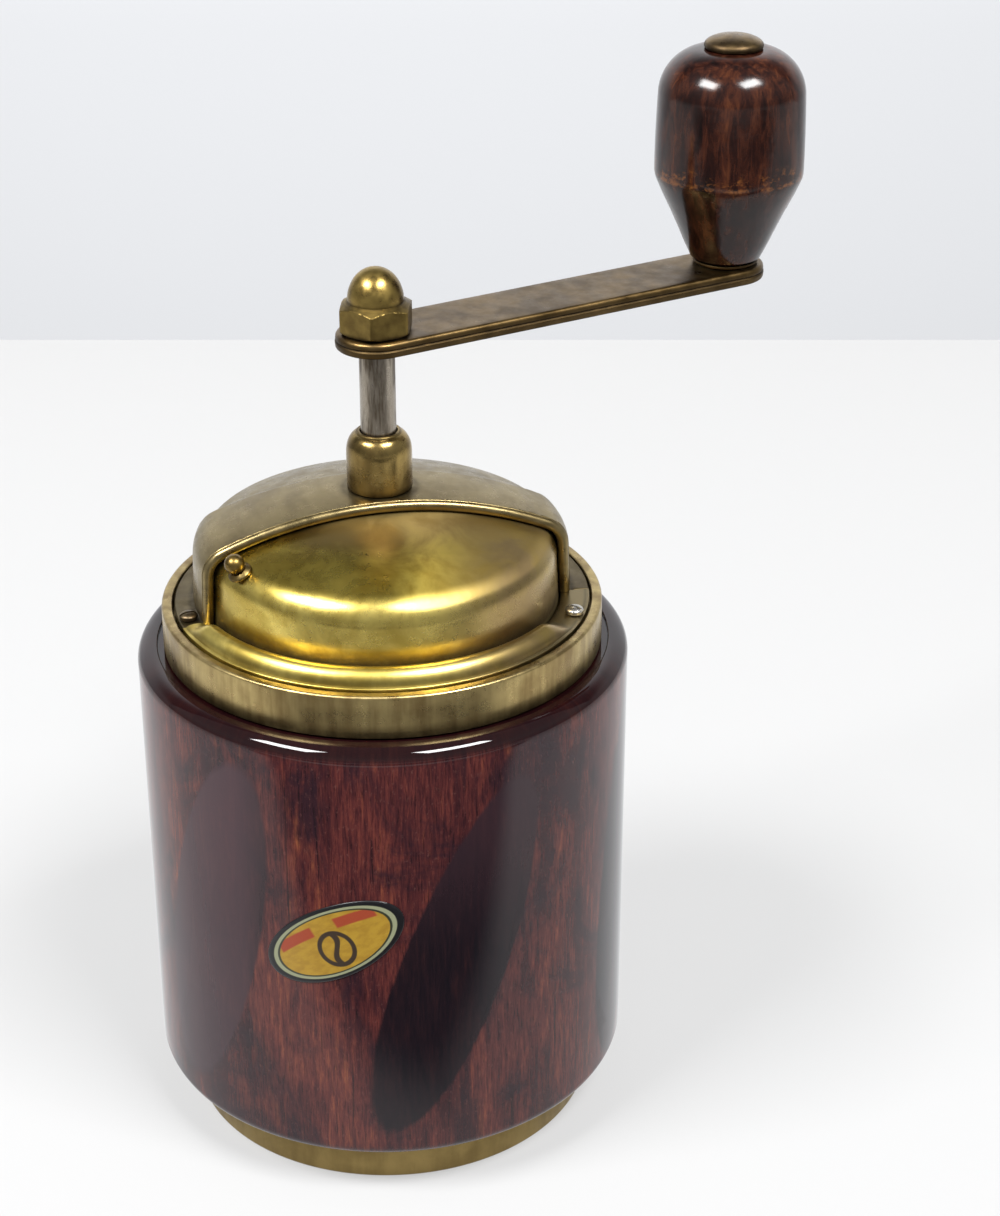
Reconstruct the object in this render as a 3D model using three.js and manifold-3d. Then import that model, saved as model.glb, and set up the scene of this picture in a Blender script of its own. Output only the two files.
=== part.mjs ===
// A manual coffee grinder: a turned wooden cup on a brass foot, and above it a
// brass head with a domed hopper, a swinging door, the mill and its crank.
// Millimetres, +Z up. The origin is on the shaft's axis, on the resting face.
// The door is at the front, towards -Y.
import * as THREE from 'three';
import { mergeVertices } from 'three/addons/utils/BufferGeometryUtils.js';
import Module from 'manifold-3d';

const wasm = await Module();
wasm.setup();

// Clearances
const SEAT_GAP = 0.3;          // between pieces that rest on each other
const RUN_GAP = 0.25;          // radial, between pieces that turn in each other
const HOLE_GAP = 0.3;          // radial, round a screw's shank

// Wooden cup
const BODY_RADIUS = 46;
const BODY_HEIGHT = 87.7;
const BODY_TOP_ROUND = 3;
const BODY_FOOT_ROUND = 2.6;
const CUP_RADIUS = 35;
const CUP_ROUND = 4;           // between the cup's wall and its floor
const CUP_FLOOR = 4.5;         // wood left under the cup
const SEAT_RECESS = 0.6;       // depth of the step that the collar stands in
const SEAT_MARGIN = 1.2;       // how far that step reaches past the collar

// Foot
const FOOT_STEP = 6.5;         // how far the wood stands out past it
const FOOT_RADIUS = BODY_RADIUS - FOOT_STEP;
const FOOT_HEIGHT = 9.5;
const FOOT_EDGE = 0.6;         // chamfer round its lower edge
const FOOT_WALL = 1.5;
const FOOT_LIP = 9;            // width of the flange turned in underneath
const FOOT_SHEET = 1.2;        // thickness of that flange, and of the felt

// Collar
const COLLAR_RADIUS = 41;
const COLLAR_BAND = 8.3;       // height of the band that shows
const COLLAR_RIM = 2.1;        // width of the rolled rim, and its height over the shelf
const SKIRT_RADIUS = 38.2;
const SKIRT_WALL = 2;
const SKIRT_LENGTH = 13.2;
const SHELF_THICKNESS = 2.8;
const SHELF_WIDTH = 4.3;

// Sheet brass of the head
const SHEET = 0.8;
const DOME_RADIUS = 33.5;      // of the low rear part, outside
const DOME_RISE = 21.4;        // from the top plate to the crown
const CROWN_RADIUS = 74.5;
const SHOULDER_RADIUS = 4.8;
const WALL_FLARE = 0.4;
const BAND_RAISE = 1.2;        // the broad raised band behind the door's arch
const BAND_BACK = -8.5;        // where the band ends, measured towards the front
const BAND_TURN = 5;           // degrees that this end is turned about the axis
const ARCH_FRONT = 7;          // the arch's plane, in front of the axis
const ARCH_TURN = 9.5;         // degrees that the arch's plane is turned about the axis
const ARCH_BEAD = 1;           // radius of the bead on the arch
const BEAD_DROP = 1;           // of the bead's middle, under the band's outside
const HOPPER_MOUTH = 27.5;     // radius of the hole in the top plate
const SILL_WIDTH = 5;
const SILL_HEIGHT = 3.8;
const SILL_LIP = 1.1;
const SILL_EDGE = 0.4;         // width of the flat lip in front of it
const SILL_END = -24;          // degrees, where its hump ends on the right

// Door
const DOOR_DROP = 1.25;        // the door's outside, inside the low part's outside
const DOOR_SHEET = 0.7;
const DOOR_SPAN = 162;         // degrees round the axis
const DOOR_HUB_RADIUS = 9.5;
const DOOR_KNOB_TURN = -65;    // degrees from the arch's middle
const DOOR_KNOB_TILT = 29;     // degrees, the shoulder's slope where the knob stands
const DOOR_KNOB_RADIUS = 1.85;
const DOOR_KNOB_NECK = 1.0;
const DOOR_KNOB_STEM = 2.4;    // from the door's outside to the ball's middle
const DOOR_KNOB_TAIL = 0.5;    // how far its pin comes out under the door
const DOOR_WASHER_RADIUS = 2.2;
const DOOR_WASHER_THICKNESS = 0.6;
const DOOR_WASHER_LIFT = 0.35; // over the door's rounded shoulder

// Shaft and its bushes
const SHAFT_RADIUS = 3.25;
const SHAFT_FLATS = 4.6;       // across the flats
const THREAD_RADIUS = 2.95;
const THREAD_LENGTH = 7.4;     // above the arm
const SHAFT_COLLAR_RADIUS = 5.2;
const SHAFT_COLLAR_HEIGHT = 2.4;
const SHAFT_CHAMFER = 0.5;
const BOSS_RADIUS = 6;
const BOSS_HEIGHT = 10.6;
const BOSS_SHOULDER = 3.8;
const BOSS_LIP = 3.75;
const NECK_RADIUS = 4.3;
const NECK_LENGTH = 11;
const SPACER_RADIUS = 5.6;
const DOOR_RING_RADIUS = 8;
const DOOR_RING_THICKNESS = 0.8;
const BUSH_NUT_FLATS = 13;
const BUSH_NUT_HEIGHT = 3.2;
const LOWER_BUSH_RADIUS = 4.5;
const LOWER_BUSH_FLANGE = 6;
const LOWER_BUSH_RIM = 1;      // thickness of that flange

// Mill
const HOUSING_FLANGE = 34.2;
const HOUSING_WALL = 3;
const HOUSING_THROAT = 17;
const FUNNEL_HEIGHT = 15.4;
const HUB_RADIUS = 7;
const HUB_HEIGHT = 8;
const HUB_DROP = 5.4;          // the hub's top, under the housing's top
const RIB_WIDTH = 3;
const RIB_HEIGHT = 5;
const RIB_ANGLES = [90, 210, 330];
const RING_RADIUS = 19.2;
const RING_HEIGHT = 17.7;
const RING_MOUTH = 15.5;
const RING_WAIST = 14.6;
const RING_BEVEL = 2;          // height of the bevel at its mouth, twice as high as wide
const RING_OUTLET = 17.2;
const RING_TEETH = 18;
const WAIST_SHARE = 0.45;      // of a burr's height, where its taper changes
const CONE_TOP = 7;
const CONE_WAIST = 12.4;
const CONE_FOOT = 15.9;
const CONE_HEIGHT = 14;
const CONE_EDGE = 1;           // chamfer round its foot
const CONE_TEETH = 15;
const TOOTH_DEPTH = 0.7;
const RING_LEAN = 0.01;        // radians that the teeth lean over in each millimetre of height
const CONE_LEAN = -0.03;
const CLIP_RADIUS = 5;
const CLIP_GROOVE = 2.7;
const CLIP_THICKNESS = 0.8;
const CLIP_MOUTH = 70;         // degrees of the clip that are open
const SEAT_WASHER_RADIUS = 6.2;
const SEAT_WASHER_THICKNESS = 0.7;
const SPRING_RADIUS = 4.9;
const SPRING_WIRE = 0.45;
const SPRING_TURNS = 3.5;
const SPRING_HEIGHT = 7;
const CLICK_RADIUS = 9;
const CLICK_THICKNESS = 0.8;
const ADJUSTER_RADIUS = 9.5;
const ADJUSTER_HEIGHT = 6;
const ADJUSTER_LOBES = 8;
const LOBE_HEIGHT = 0.8;       // half of a lobe's height over the hollows
const SHAFT_TAIL = 1.6;        // shaft below the adjusting nut

// Crank
const ARM_RISE = 16.2;         // from the boss to the arm
const ARM_TURN = 27.35;        // degrees, from +X
const ARM_LENGTH = 75.2;       // between the shaft's and the knob's axes
const ARM_WIDTH = 14.9;
const ARM_THICKNESS = 2.8;
const ARM_EDGE = 0.6;
const NUT_FLATS = 12.2;
const NUT_HEX_HEIGHT = 5.2;
const NUT_DOME_RADIUS = 5.2;
const NUT_DOME_HEIGHT = 6.3;
const NUT_CHAMFER = 0.9;
const NUT_TURN = -7.4;         // degrees of one corner past the front
const PIN_RADIUS = 2;
const PIN_HEAD_RADIUS = 5.5;
const PIN_HEAD_HEIGHT = 2.3;
const KNOB_WASHER_RADIUS = 6.2;
const KNOB_WASHER_THICKNESS = 0.5;
const KNOB_LENGTH = 39.8;
const KNOB_FOOT = 6.6;
const KNOB_NECK = 8.9;         // radius where the foot's curve meets the cone
const KNOB_NECK_RISE = 6.4;
const KNOB_RIDGE = 14;
const KNOB_RIDGE_RISE = 16.6;
const KNOB_RIDGE_EDGE = 0.3;   // how much narrower the cone ends under the ridge
const KNOB_RIDGE_BAND = 0.8;
const KNOB_SHOULDER = 13.7;
const KNOB_SHOULDER_RISE = 31.6;

// Screws and the label
const SCREW_CIRCLE = 36.7;
const SCREW_RADIUS = 1;
const SCREW_HEAD_RADIUS = 1.7;
const SCREW_HEAD_HEIGHT = 1.2;
const SCREW_SLOT = 0.5;
const SCREW_ANGLES = { left: -165, right: -17, rear: 90 };
const HOUSING_SCREW_CIRCLE = 29.6;
const HOUSING_SCREW_LENGTH = 3.6;
const HOUSING_SCREW_ANGLES = [45, 165, 285];
const GRUB_RADIUS = 1.4;
const GRUB_LENGTH = 3.2;
const GRUB_ANGLES = [30, 150, 270];
const FOOT_SCREW_INSET = 6;     // their circle, inside the foot's outside
const FOOT_SCREW_ANGLES = [30, 150, 270];
const FOOT_SCREW_LENGTH = 5;
const LABEL_HALF_LENGTH = 14.2;
const LABEL_HALF_HEIGHT = 7.2;
const LABEL_THICKNESS = 0.25;
const LABEL_AZIMUTH = -103;    // degrees
const LABEL_RISE = 48;         // its middle, over the wood's underside
const LABEL_TILT = 30;

// Number of facets round a large, a middling and a small round piece
const LARGE = 48;
const MIDDLE = 32;
const SMALL = 16;
const TINY = 10;

// Heights of the seats, from the floor up
const woodFoot = FOOT_HEIGHT + SEAT_GAP;
const woodTop = woodFoot + BODY_HEIGHT;
const cupFloor = woodFoot + CUP_FLOOR;
const collarSeat = woodTop - SEAT_RECESS;
const collarFoot = collarSeat + SEAT_GAP;
const collarTop = collarFoot + COLLAR_BAND;
const shelfTop = collarTop - COLLAR_RIM;
const shelfFoot = shelfTop - SHELF_THICKNESS;
const skirtFoot = collarFoot - SKIRT_LENGTH;
const skirtInside = SKIRT_RADIUS - SKIRT_WALL;
const plateFoot = shelfTop + SEAT_GAP;
const plateTop = plateFoot + SHEET;
const rimInside = COLLAR_RADIUS - COLLAR_RIM;
const plateRadius = rimInside - SEAT_GAP;
const shelfInside = rimInside - SHELF_WIDTH;
const headFoot = plateTop + SEAT_GAP;
const domeTop = headFoot + DOME_RISE;
const bossFoot = domeTop + BAND_RAISE + SEAT_GAP;
const bossTop = bossFoot + BOSS_HEIGHT;
const neckFoot = bossFoot - NECK_LENGTH;
const armFoot = bossTop + ARM_RISE;
const armTop = armFoot + ARM_THICKNESS;
const housingTop = shelfTop;
const hubTop = housingTop - HUB_DROP;
const hubFoot = hubTop - HUB_HEIGHT;
const throatTop = housingTop - FUNNEL_HEIGHT;
const ringTop = throatTop - HOUSING_WALL - SEAT_GAP;
const ringFoot = ringTop - RING_HEIGHT;
const bushFlangeFoot = hubTop + SEAT_GAP;
const bushFlangeTop = bushFlangeFoot + LOWER_BUSH_RIM;
const shaftCollarFoot = bushFlangeTop + SEAT_GAP;
const clipTop = hubFoot - SEAT_GAP;
const clipFoot = clipTop - CLIP_THICKNESS;
const seatTop = clipFoot - SEAT_GAP;
const seatFoot = seatTop - SEAT_WASHER_THICKNESS;
const springTop = seatFoot - SEAT_GAP;
const springFoot = springTop - SPRING_HEIGHT;
const coneTop = springFoot - SEAT_GAP;
const coneFoot = coneTop - CONE_HEIGHT;
const clickTop = coneFoot - SEAT_GAP;
const clickFoot = clickTop - CLICK_THICKNESS;
const adjusterTop = clickFoot - SEAT_GAP;
const adjusterFoot = adjusterTop - ADJUSTER_HEIGHT;
const shaftFoot = adjusterFoot - SHAFT_TAIL;
const shaftTop = armTop + THREAD_LENGTH;

const radians = THREE.MathUtils.degToRad;
const group = new THREE.Group();

// Materials, by the finish that they show
const finishes = {
  lacqueredWood: { color: 0x5a2018, roughness: 0.22, metalness: 0 },
  knobWood: { color: 0x3a130b, roughness: 0.2, metalness: 0 },
  agedBrass: { color: 0x8f7a45, roughness: 0.38, metalness: 1 },
  brightBrass: { color: 0xb08f2c, roughness: 0.28, metalness: 1 },
  darkBrass: { color: 0x6e5d3b, roughness: 0.42, metalness: 1 },
  steel: { color: 0x77746c, roughness: 0.35, metalness: 1 },
  castIron: { color: 0x3b3b3d, roughness: 0.7, metalness: 1 },
  felt: { color: 0x2c3b2a, roughness: 0.95, metalness: 0 },
  labelFoil: { color: 0xc79a2a, roughness: 0.4, metalness: 0.3 },
};

function material(finish) {
  return new THREE.MeshStandardMaterial(finishes[finish]);
}

// A closed geometry with shared corners and its faces pointing out
function closed(geometry) {
  const bare = new THREE.BufferGeometry();
  bare.setAttribute('position', geometry.getAttribute('position').clone());
  if (geometry.index) bare.setIndex(geometry.index.clone());
  const merged = mergeVertices(bare, 1e-4);
  const corners = merged.index.array;
  const kept = [];
  for (let i = 0; i < corners.length; i += 3) {
    const [a, b, c] = [corners[i], corners[i + 1], corners[i + 2]];
    if (a !== b && b !== c && c !== a) kept.push(a, b, c);
  }
  merged.setIndex(signedVolume(merged, kept) < 0 ? kept.reverse() : kept);
  return merged;
}

function signedVolume(geometry, corners) {
  const points = geometry.getAttribute('position');
  const [a, b, c] = [new THREE.Vector3(), new THREE.Vector3(), new THREE.Vector3()];
  let volume = 0;
  for (let i = 0; i < corners.length; i += 3) {
    a.fromBufferAttribute(points, corners[i]);
    b.fromBufferAttribute(points, corners[i + 1]);
    c.fromBufferAttribute(points, corners[i + 2]);
    volume += a.dot(b.cross(c)) / 6;
  }
  return volume;
}

// Conversions between a geometry and a solid that can be joined and cut
function solid(geometry) {
  const shape = closed(geometry);
  return new wasm.Manifold(new wasm.Mesh({
    numProp: 3,
    vertProperties: new Float32Array(shape.getAttribute('position').array),
    triVerts: new Uint32Array(shape.index.array),
  }));
}

function geometryOf(body) {
  const mesh = body.getMesh();
  const shape = new THREE.BufferGeometry();
  shape.setAttribute('position', new THREE.BufferAttribute(mesh.vertProperties, 3));
  shape.setIndex(new THREE.BufferAttribute(mesh.triVerts, 1));
  shape.computeVertexNormals();
  return shape;
}

// Adds a named piece. The shape is a geometry or a solid.
function add(name, finish, shape, parent = group) {
  const geometry = shape.isBufferGeometry ? closed(shape) : geometryOf(shape);
  geometry.computeVertexNormals();
  const mesh = new THREE.Mesh(geometry, material(finish));
  mesh.name = name;
  parent.add(mesh);
  return mesh;
}

// A turned piece: the outline, as [radius, height] pairs, is closed on itself
function turned(outline, facets = LARGE) {
  const points = [...outline, outline[0]].map(([r, z]) => new THREE.Vector2(r, z));
  return new THREE.LatheGeometry(points, facets).rotateX(Math.PI / 2);
}

function ring(inside, outside, foot, top, facets = LARGE) {
  return turned([[inside, foot], [outside, foot], [outside, top], [inside, top]], facets);
}

function rod(radius, foot, top, facets = SMALL) {
  return turned([[0, foot], [radius, foot], [radius, top], [0, top]], facets);
}

// Points of a quarter ellipse, from one angle to another in degrees
function arc(centreR, centreZ, radiusR, radiusZ, from, to, steps) {
  return Array.from({ length: steps + 1 }, (_, i) => {
    const angle = radians(from + (to - from) * i / steps);
    return [centreR + radiusR * Math.cos(angle), centreZ + radiusZ * Math.sin(angle)];
  });
}

// A box between two corners
function block([x0, y0, z0], [x1, y1, z1]) {
  const box = new THREE.BoxGeometry(x1 - x0, y1 - y0, z1 - z0);
  return box.translate((x0 + x1) / 2, (y0 + y1) / 2, (z0 + z1) / 2);
}

// An upright prism with a regular outline, corner radius given
function prism(sides, radius, foot, top, turn = 0) {
  return turned([[0, foot], [radius, foot], [radius, top], [0, top]], sides).rotateZ(radians(turn));
}

// A rod with two flats, or the hole for one: round, and cut off at plus and minus half the flats
function flatted(radius, flats, foot, top) {
  const reach = radius + 1;
  const slab = block([-reach, -flats / 2, foot - 1], [reach, flats / 2, top + 1]);
  return solid(rod(radius, foot, top)).intersect(solid(slab));
}

function polar(radius, degrees, height = 0) {
  return new THREE.Vector3(radius * Math.cos(radians(degrees)), radius * Math.sin(radians(degrees)), height);
}

// A slotted screw standing upright, with its head's seat at height zero
function screw(length, { radius = SCREW_RADIUS, head = SCREW_HEAD_RADIUS, height = SCREW_HEAD_HEIGHT } = {}) {
  const domed = arc(0, height * 0.45, head, height * 0.55, 0, 90, 3);
  const outline = [[0, -length], [radius, -length], [radius, 0], [head, 0], ...domed];
  const cut = block([-head - 1, -SCREW_SLOT / 2, height * 0.55], [head + 1, SCREW_SLOT / 2, height + 1]);
  return solid(new THREE.LatheGeometry(outline.map(([r, z]) => new THREE.Vector2(r, z)), TINY)
    .rotateX(Math.PI / 2)).subtract(solid(cut));
}

function placed(shape, position, turn = 0) {
  const geometry = geometryOf(shape).rotateZ(radians(turn));
  return geometry.translate(position.x, position.y, position.z);
}

// Foot: a pressed brass band with its edge turned in, felt and three screws
function makeFoot() {
  const inside = FOOT_RADIUS - FOOT_WALL;
  const lipInside = FOOT_RADIUS - FOOT_LIP;
  const band = solid(turned([
    [lipInside, 0], [FOOT_RADIUS - FOOT_EDGE, 0], [FOOT_RADIUS, FOOT_EDGE],
    [FOOT_RADIUS, FOOT_HEIGHT], [inside, FOOT_HEIGHT], [inside, FOOT_SHEET], [lipInside, FOOT_SHEET],
  ]));
  const sunk = FOOT_SHEET * 0.6;
  const holes = footScrewPlaces().map(({ x, y }) => {
    const hole = turned([
      [0, -1], [SCREW_HEAD_RADIUS + HOLE_GAP, -1], [SCREW_HEAD_RADIUS + HOLE_GAP, sunk],
      [SCREW_RADIUS + HOLE_GAP, sunk], [SCREW_RADIUS + HOLE_GAP, FOOT_SHEET + 1], [0, FOOT_SHEET + 1],
    ], TINY);
    return solid(hole.translate(x, y, 0));
  });
  add('foot_ring', 'agedBrass', holes.reduce((shape, hole) => shape.subtract(hole), band));
  add('felt_pad', 'felt', rod(lipInside - SEAT_GAP, 0, FOOT_SHEET, LARGE));
  footScrewPlaces().forEach(({ x, y }, i) => {
    const head = sunk - SEAT_GAP / 2;
    const outline = [
      [0, 0.1], [SCREW_HEAD_RADIUS, 0.1], [SCREW_HEAD_RADIUS, head],
      [SCREW_RADIUS, head], [SCREW_RADIUS, FOOT_SHEET + FOOT_SCREW_LENGTH], [0, FOOT_SHEET + FOOT_SCREW_LENGTH],
    ];
    add(`foot_screw_${i + 1}`, 'steel', turned(outline, TINY).translate(x, y, 0));
  });
}

function footScrewPlaces() {
  return FOOT_SCREW_ANGLES.map((angle) => polar(FOOT_RADIUS - FOOT_SCREW_INSET, angle));
}

// Wooden cup: its spigot stands in the foot, and its mouth takes the collar's skirt
function makeWood() {
  const spigot = FOOT_RADIUS - FOOT_WALL - SEAT_GAP;
  const seat = COLLAR_RADIUS + SEAT_MARGIN;
  const mouth = SKIRT_RADIUS + SEAT_GAP;
  const cup = solid(turned([
    [0, FOOT_SHEET + SEAT_GAP], [spigot, FOOT_SHEET + SEAT_GAP], [spigot, woodFoot],
    ...arc(BODY_RADIUS - BODY_FOOT_ROUND, woodFoot + BODY_FOOT_ROUND, BODY_FOOT_ROUND, BODY_FOOT_ROUND, -90, 0, 3),
    ...arc(BODY_RADIUS - BODY_TOP_ROUND, woodTop - BODY_TOP_ROUND, BODY_TOP_ROUND, BODY_TOP_ROUND, 0, 90, 4),
    [seat, woodTop], [seat, collarSeat], [mouth, collarSeat],
    [mouth, skirtFoot - SEAT_GAP], [CUP_RADIUS, skirtFoot - SEAT_GAP],
    ...arc(CUP_RADIUS - CUP_ROUND, cupFloor + CUP_ROUND, CUP_ROUND, CUP_ROUND, 0, -90, 2), [0, cupFloor],
  ]));
  const holes = footScrewPlaces().map(({ x, y }) => solid(
    rod(SCREW_RADIUS + HOLE_GAP, 0, FOOT_SHEET + FOOT_SCREW_LENGTH + SEAT_GAP, TINY).translate(x, y, 0)));
  add('wood_body', 'lacqueredWood', holes.reduce((shape, hole) => shape.subtract(hole), cup));
}

// Label: a thin oval bent round the wood
function makeLabel() {
  const inside = BODY_RADIUS + SEAT_GAP;
  const middle = woodFoot + LABEL_RISE;
  const reach = LABEL_HALF_LENGTH + 1;
  const sleeve = solid(ring(inside, inside + LABEL_THICKNESS, middle - reach, middle + reach, LARGE * 2));
  const oval = new THREE.Shape();
  oval.absellipse(0, 0, LABEL_HALF_LENGTH, LABEL_HALF_HEIGHT, 0, 2 * Math.PI, false, radians(LABEL_TILT));
  const punch = new THREE.ExtrudeGeometry(oval, { depth: BODY_RADIUS, bevelEnabled: false, curveSegments: 24 });
  punch.rotateX(Math.PI / 2).translate(0, -BODY_RADIUS / 2, middle).rotateZ(radians(LABEL_AZIMUTH + 90));
  add('label', 'labelFoil', sleeve.intersect(solid(punch)));
}

// Collar: band, rolled rim, a shelf for the head and a skirt that plugs into the cup
function makeCollar() {
  const round = COLLAR_RIM / 2;
  let body = solid(turned([
    [COLLAR_RADIUS, collarFoot],
    ...arc(COLLAR_RADIUS - round, collarTop - round * 0.7, round, round * 0.7, 0, 180, 4),
    [rimInside, shelfTop], [shelfInside, shelfTop], [shelfInside, shelfFoot],
    [skirtInside, shelfFoot], [skirtInside, skirtFoot],
    [SKIRT_RADIUS, skirtFoot], [SKIRT_RADIUS, collarFoot],
  ]));
  for (const hole of screwHoles(shelfFoot - 1, shelfTop + 1)) body = body.subtract(hole);
  add('collar', 'agedBrass', body);
}

function screwHoles(foot, top) {
  return Object.values(SCREW_ANGLES).map((angle) => {
    const place = polar(SCREW_CIRCLE, angle);
    return solid(rod(SCREW_RADIUS + HOLE_GAP, foot, top, TINY).translate(place.x, place.y, 0));
  });
}

function housingScrewHoles(foot, top) {
  return HOUSING_SCREW_ANGLES.map((angle) => {
    const place = polar(HOUSING_SCREW_CIRCLE, angle);
    return solid(rod(SCREW_RADIUS + HOLE_GAP, foot, top, TINY).translate(place.x, place.y, 0));
  });
}

// Top plate: the disc that the dome, sill and housing are fixed to
function makeTopPlate() {
  let plate = solid(ring(HOPPER_MOUTH, plateRadius, plateFoot, plateTop));
  for (const hole of screwHoles(plateFoot - 1, plateTop + 1)) plate = plate.subtract(hole);
  for (const hole of housingScrewHoles(plateFoot - 1, plateTop + 1)) plate = plate.subtract(hole);
  add('top_plate', 'darkBrass', plate);
}

// The dome's outline, moved out by an offset: crown, shoulder and wall, from the axis down
function domeOutline(offset) {
  const crownCentre = domeTop - CROWN_RADIUS;
  const shoulderR = DOME_RADIUS - SHOULDER_RADIUS;
  const rise = Math.sqrt((CROWN_RADIUS - SHOULDER_RADIUS) ** 2 - shoulderR ** 2);
  const turn = THREE.MathUtils.radToDeg(Math.atan2(shoulderR, rise));
  const crown = CROWN_RADIUS + offset;
  const shoulder = SHOULDER_RADIUS + offset;
  return [
    ...arc(0, crownCentre, crown, crown, 90, 90 - turn, 4),
    ...arc(shoulderR, crownCentre + rise, shoulder, shoulder, 90 - turn, 0, 4).slice(1),
    [DOME_RADIUS + offset + WALL_FLARE, headFoot],
  ];
}

// A sheet shell between two offsets of the dome's outline
function domeShell(outside, inside) {
  return solid(turned([...domeOutline(outside), ...domeOutline(inside).reverse()]));
}

// A slab square to the arch's direction, between two distances towards the front
function archSlab(back, front, turn = ARCH_TURN) {
  const reach = COLLAR_RADIUS * 2;
  const slab = block([-reach, -front, 0], [reach, -back, domeTop + reach]);
  return solid(slab.rotateZ(radians(turn)));
}

// The bead's path: an outline inside the band's, where the arch's plane cuts it, from left to right
function archPath() {
  const offset = BAND_RAISE - BEAD_DROP;
  const half = domeOutline(offset)
    .filter(([r]) => r > ARCH_FRONT + ARCH_BEAD)
    .map(([r, z]) => [Math.sqrt(r * r - ARCH_FRONT * ARCH_FRONT), z]);
  const crown = domeTop - CROWN_RADIUS + Math.sqrt((CROWN_RADIUS + offset) ** 2 - ARCH_FRONT ** 2);
  const points = [
    ...half.slice().reverse().map(([x, z]) => new THREE.Vector3(-x, -ARCH_FRONT, z)),
    new THREE.Vector3(0, -ARCH_FRONT, crown),
    ...half.map(([x, z]) => new THREE.Vector3(x, -ARCH_FRONT, z)),
  ];
  return new THREE.CatmullRomCurve3(points, false, 'centripetal');
}

// Dome cover: the low rear shell, the raised band, the bead on the arch and the flange
function makeDomeCover() {
  const far = COLLAR_RADIUS * 2;
  const rear = domeShell(0, -SHEET).intersect(archSlab(-far, BAND_BACK, BAND_TURN));
  const step = domeShell(BAND_RAISE, -SHEET).intersect(archSlab(BAND_BACK - SHEET, BAND_BACK, BAND_TURN));
  const band = domeShell(BAND_RAISE, BAND_RAISE - SHEET)
    .intersect(archSlab(BAND_BACK - SHEET / 2, far, BAND_TURN))
    .intersect(archSlab(-far, ARCH_FRONT));
  const section = new THREE.Shape().absarc(0, 0, ARCH_BEAD, 0, 2 * Math.PI);
  const bead = solid(new THREE.ExtrudeGeometry(section, {
    steps: 24, curveSegments: 4, extrudePath: archPath(), bevelEnabled: false,
  }).rotateZ(radians(ARCH_TURN)));
  const flange = solid(ring(DOME_RADIUS - SHEET, plateRadius, headFoot, headFoot + SHEET))
    .subtract(solid(rod(DOME_RADIUS + BAND_RAISE - SHEET, 0, domeTop, LARGE))
      .intersect(archSlab(BAND_BACK, far, BAND_TURN)))
    .intersect(archSlab(-far, ARCH_FRONT));
  let cover = rear.add(step).add(band).add(bead).add(flange);
  cover = cover.subtract(solid(rod(NECK_RADIUS + HOLE_GAP, headFoot, domeTop + 9, MIDDLE)));
  cover = cover.intersect(solid(rod(far, headFoot, domeTop + 9, LARGE)));
  for (const hole of screwHoles(headFoot - 1, headFoot + SHEET + 1)) cover = cover.subtract(hole);
  add('dome_cover', 'agedBrass', cover);
}

// Sill: the half-round rim in front of the door, cut off along the arch's plane, and
// on the right, past the hump's end, a flat ring for the screw
function makeSill() {
  const inside = plateRadius - SILL_EDGE - SILL_WIDTH;
  const crest = inside + SILL_WIDTH / 2;
  const outline = [
    [inside, headFoot],
    ...arc(crest, headFoot, SILL_WIDTH / 2, SILL_HEIGHT, 180, 16, 6),
    [plateRadius, headFoot + SILL_LIP], [plateRadius, headFoot],
  ];
  const front = archSlab(ARCH_FRONT + ARCH_BEAD + SEAT_GAP, COLLAR_RADIUS * 2);
  const hump = solid(turned(outline)).intersect(solid(sector(-180, SILL_END)));
  let sill = hump.add(solid(ring(inside, plateRadius, headFoot, headFoot + SHEET))).intersect(front);
  for (const hole of screwHoles(headFoot - 1, headFoot + SHEET + 1)) sill = sill.subtract(hole);
  add('front_sill', 'brightBrass', sill);
}

// An upright wedge about the axis between two directions in degrees, up to the dome's top
function sector(from, to) {
  const steps = Math.ceil((to - from) / 45);
  const wedge = new THREE.Shape([new THREE.Vector2(0, 0)]);
  for (let i = 0; i <= steps; i += 1) {
    const end = polar(COLLAR_RADIUS * 2, from + (to - from) * i / steps);
    wedge.lineTo(end.x, end.y);
  }
  wedge.closePath();
  return new THREE.ExtrudeGeometry(wedge, { depth: domeTop, bevelEnabled: false });
}

// Flange screws: they go through the dome's flange, the top plate and the shelf
function makeFlangeScrews() {
  const length = headFoot + SHEET + SEAT_GAP - shelfFoot;
  for (const [side, angle] of Object.entries(SCREW_ANGLES)) {
    const place = polar(SCREW_CIRCLE, angle, headFoot + SHEET + SEAT_GAP);
    add(`flange_screw_${side}`, 'steel', placed(screw(length), place, angle + 40));
  }
}

// Door: a sector of shell that swings under the dome, with a hub round the bush
function makeDoor(parent) {
  const outside = -DOOR_DROP;
  const middle = ARCH_TURN - 90;
  const leaf = solid(sector(middle - DOOR_SPAN / 2, middle + DOOR_SPAN / 2));
  const hub = solid(rod(DOOR_HUB_RADIUS, 0, domeTop, MIDDLE));
  const door = domeShell(outside, outside - DOOR_SHEET)
    .intersect(leaf.add(hub))
    .subtract(solid(rod(NECK_RADIUS + RUN_GAP, 0, domeTop, MIDDLE)))
    .subtract(doorKnobFrame(rod(DOOR_KNOB_NECK + HOLE_GAP, -3, 3, TINY)));
  add('hopper_door', 'brightBrass', door, parent);
  makeDoorKnob(parent);
}

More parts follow.
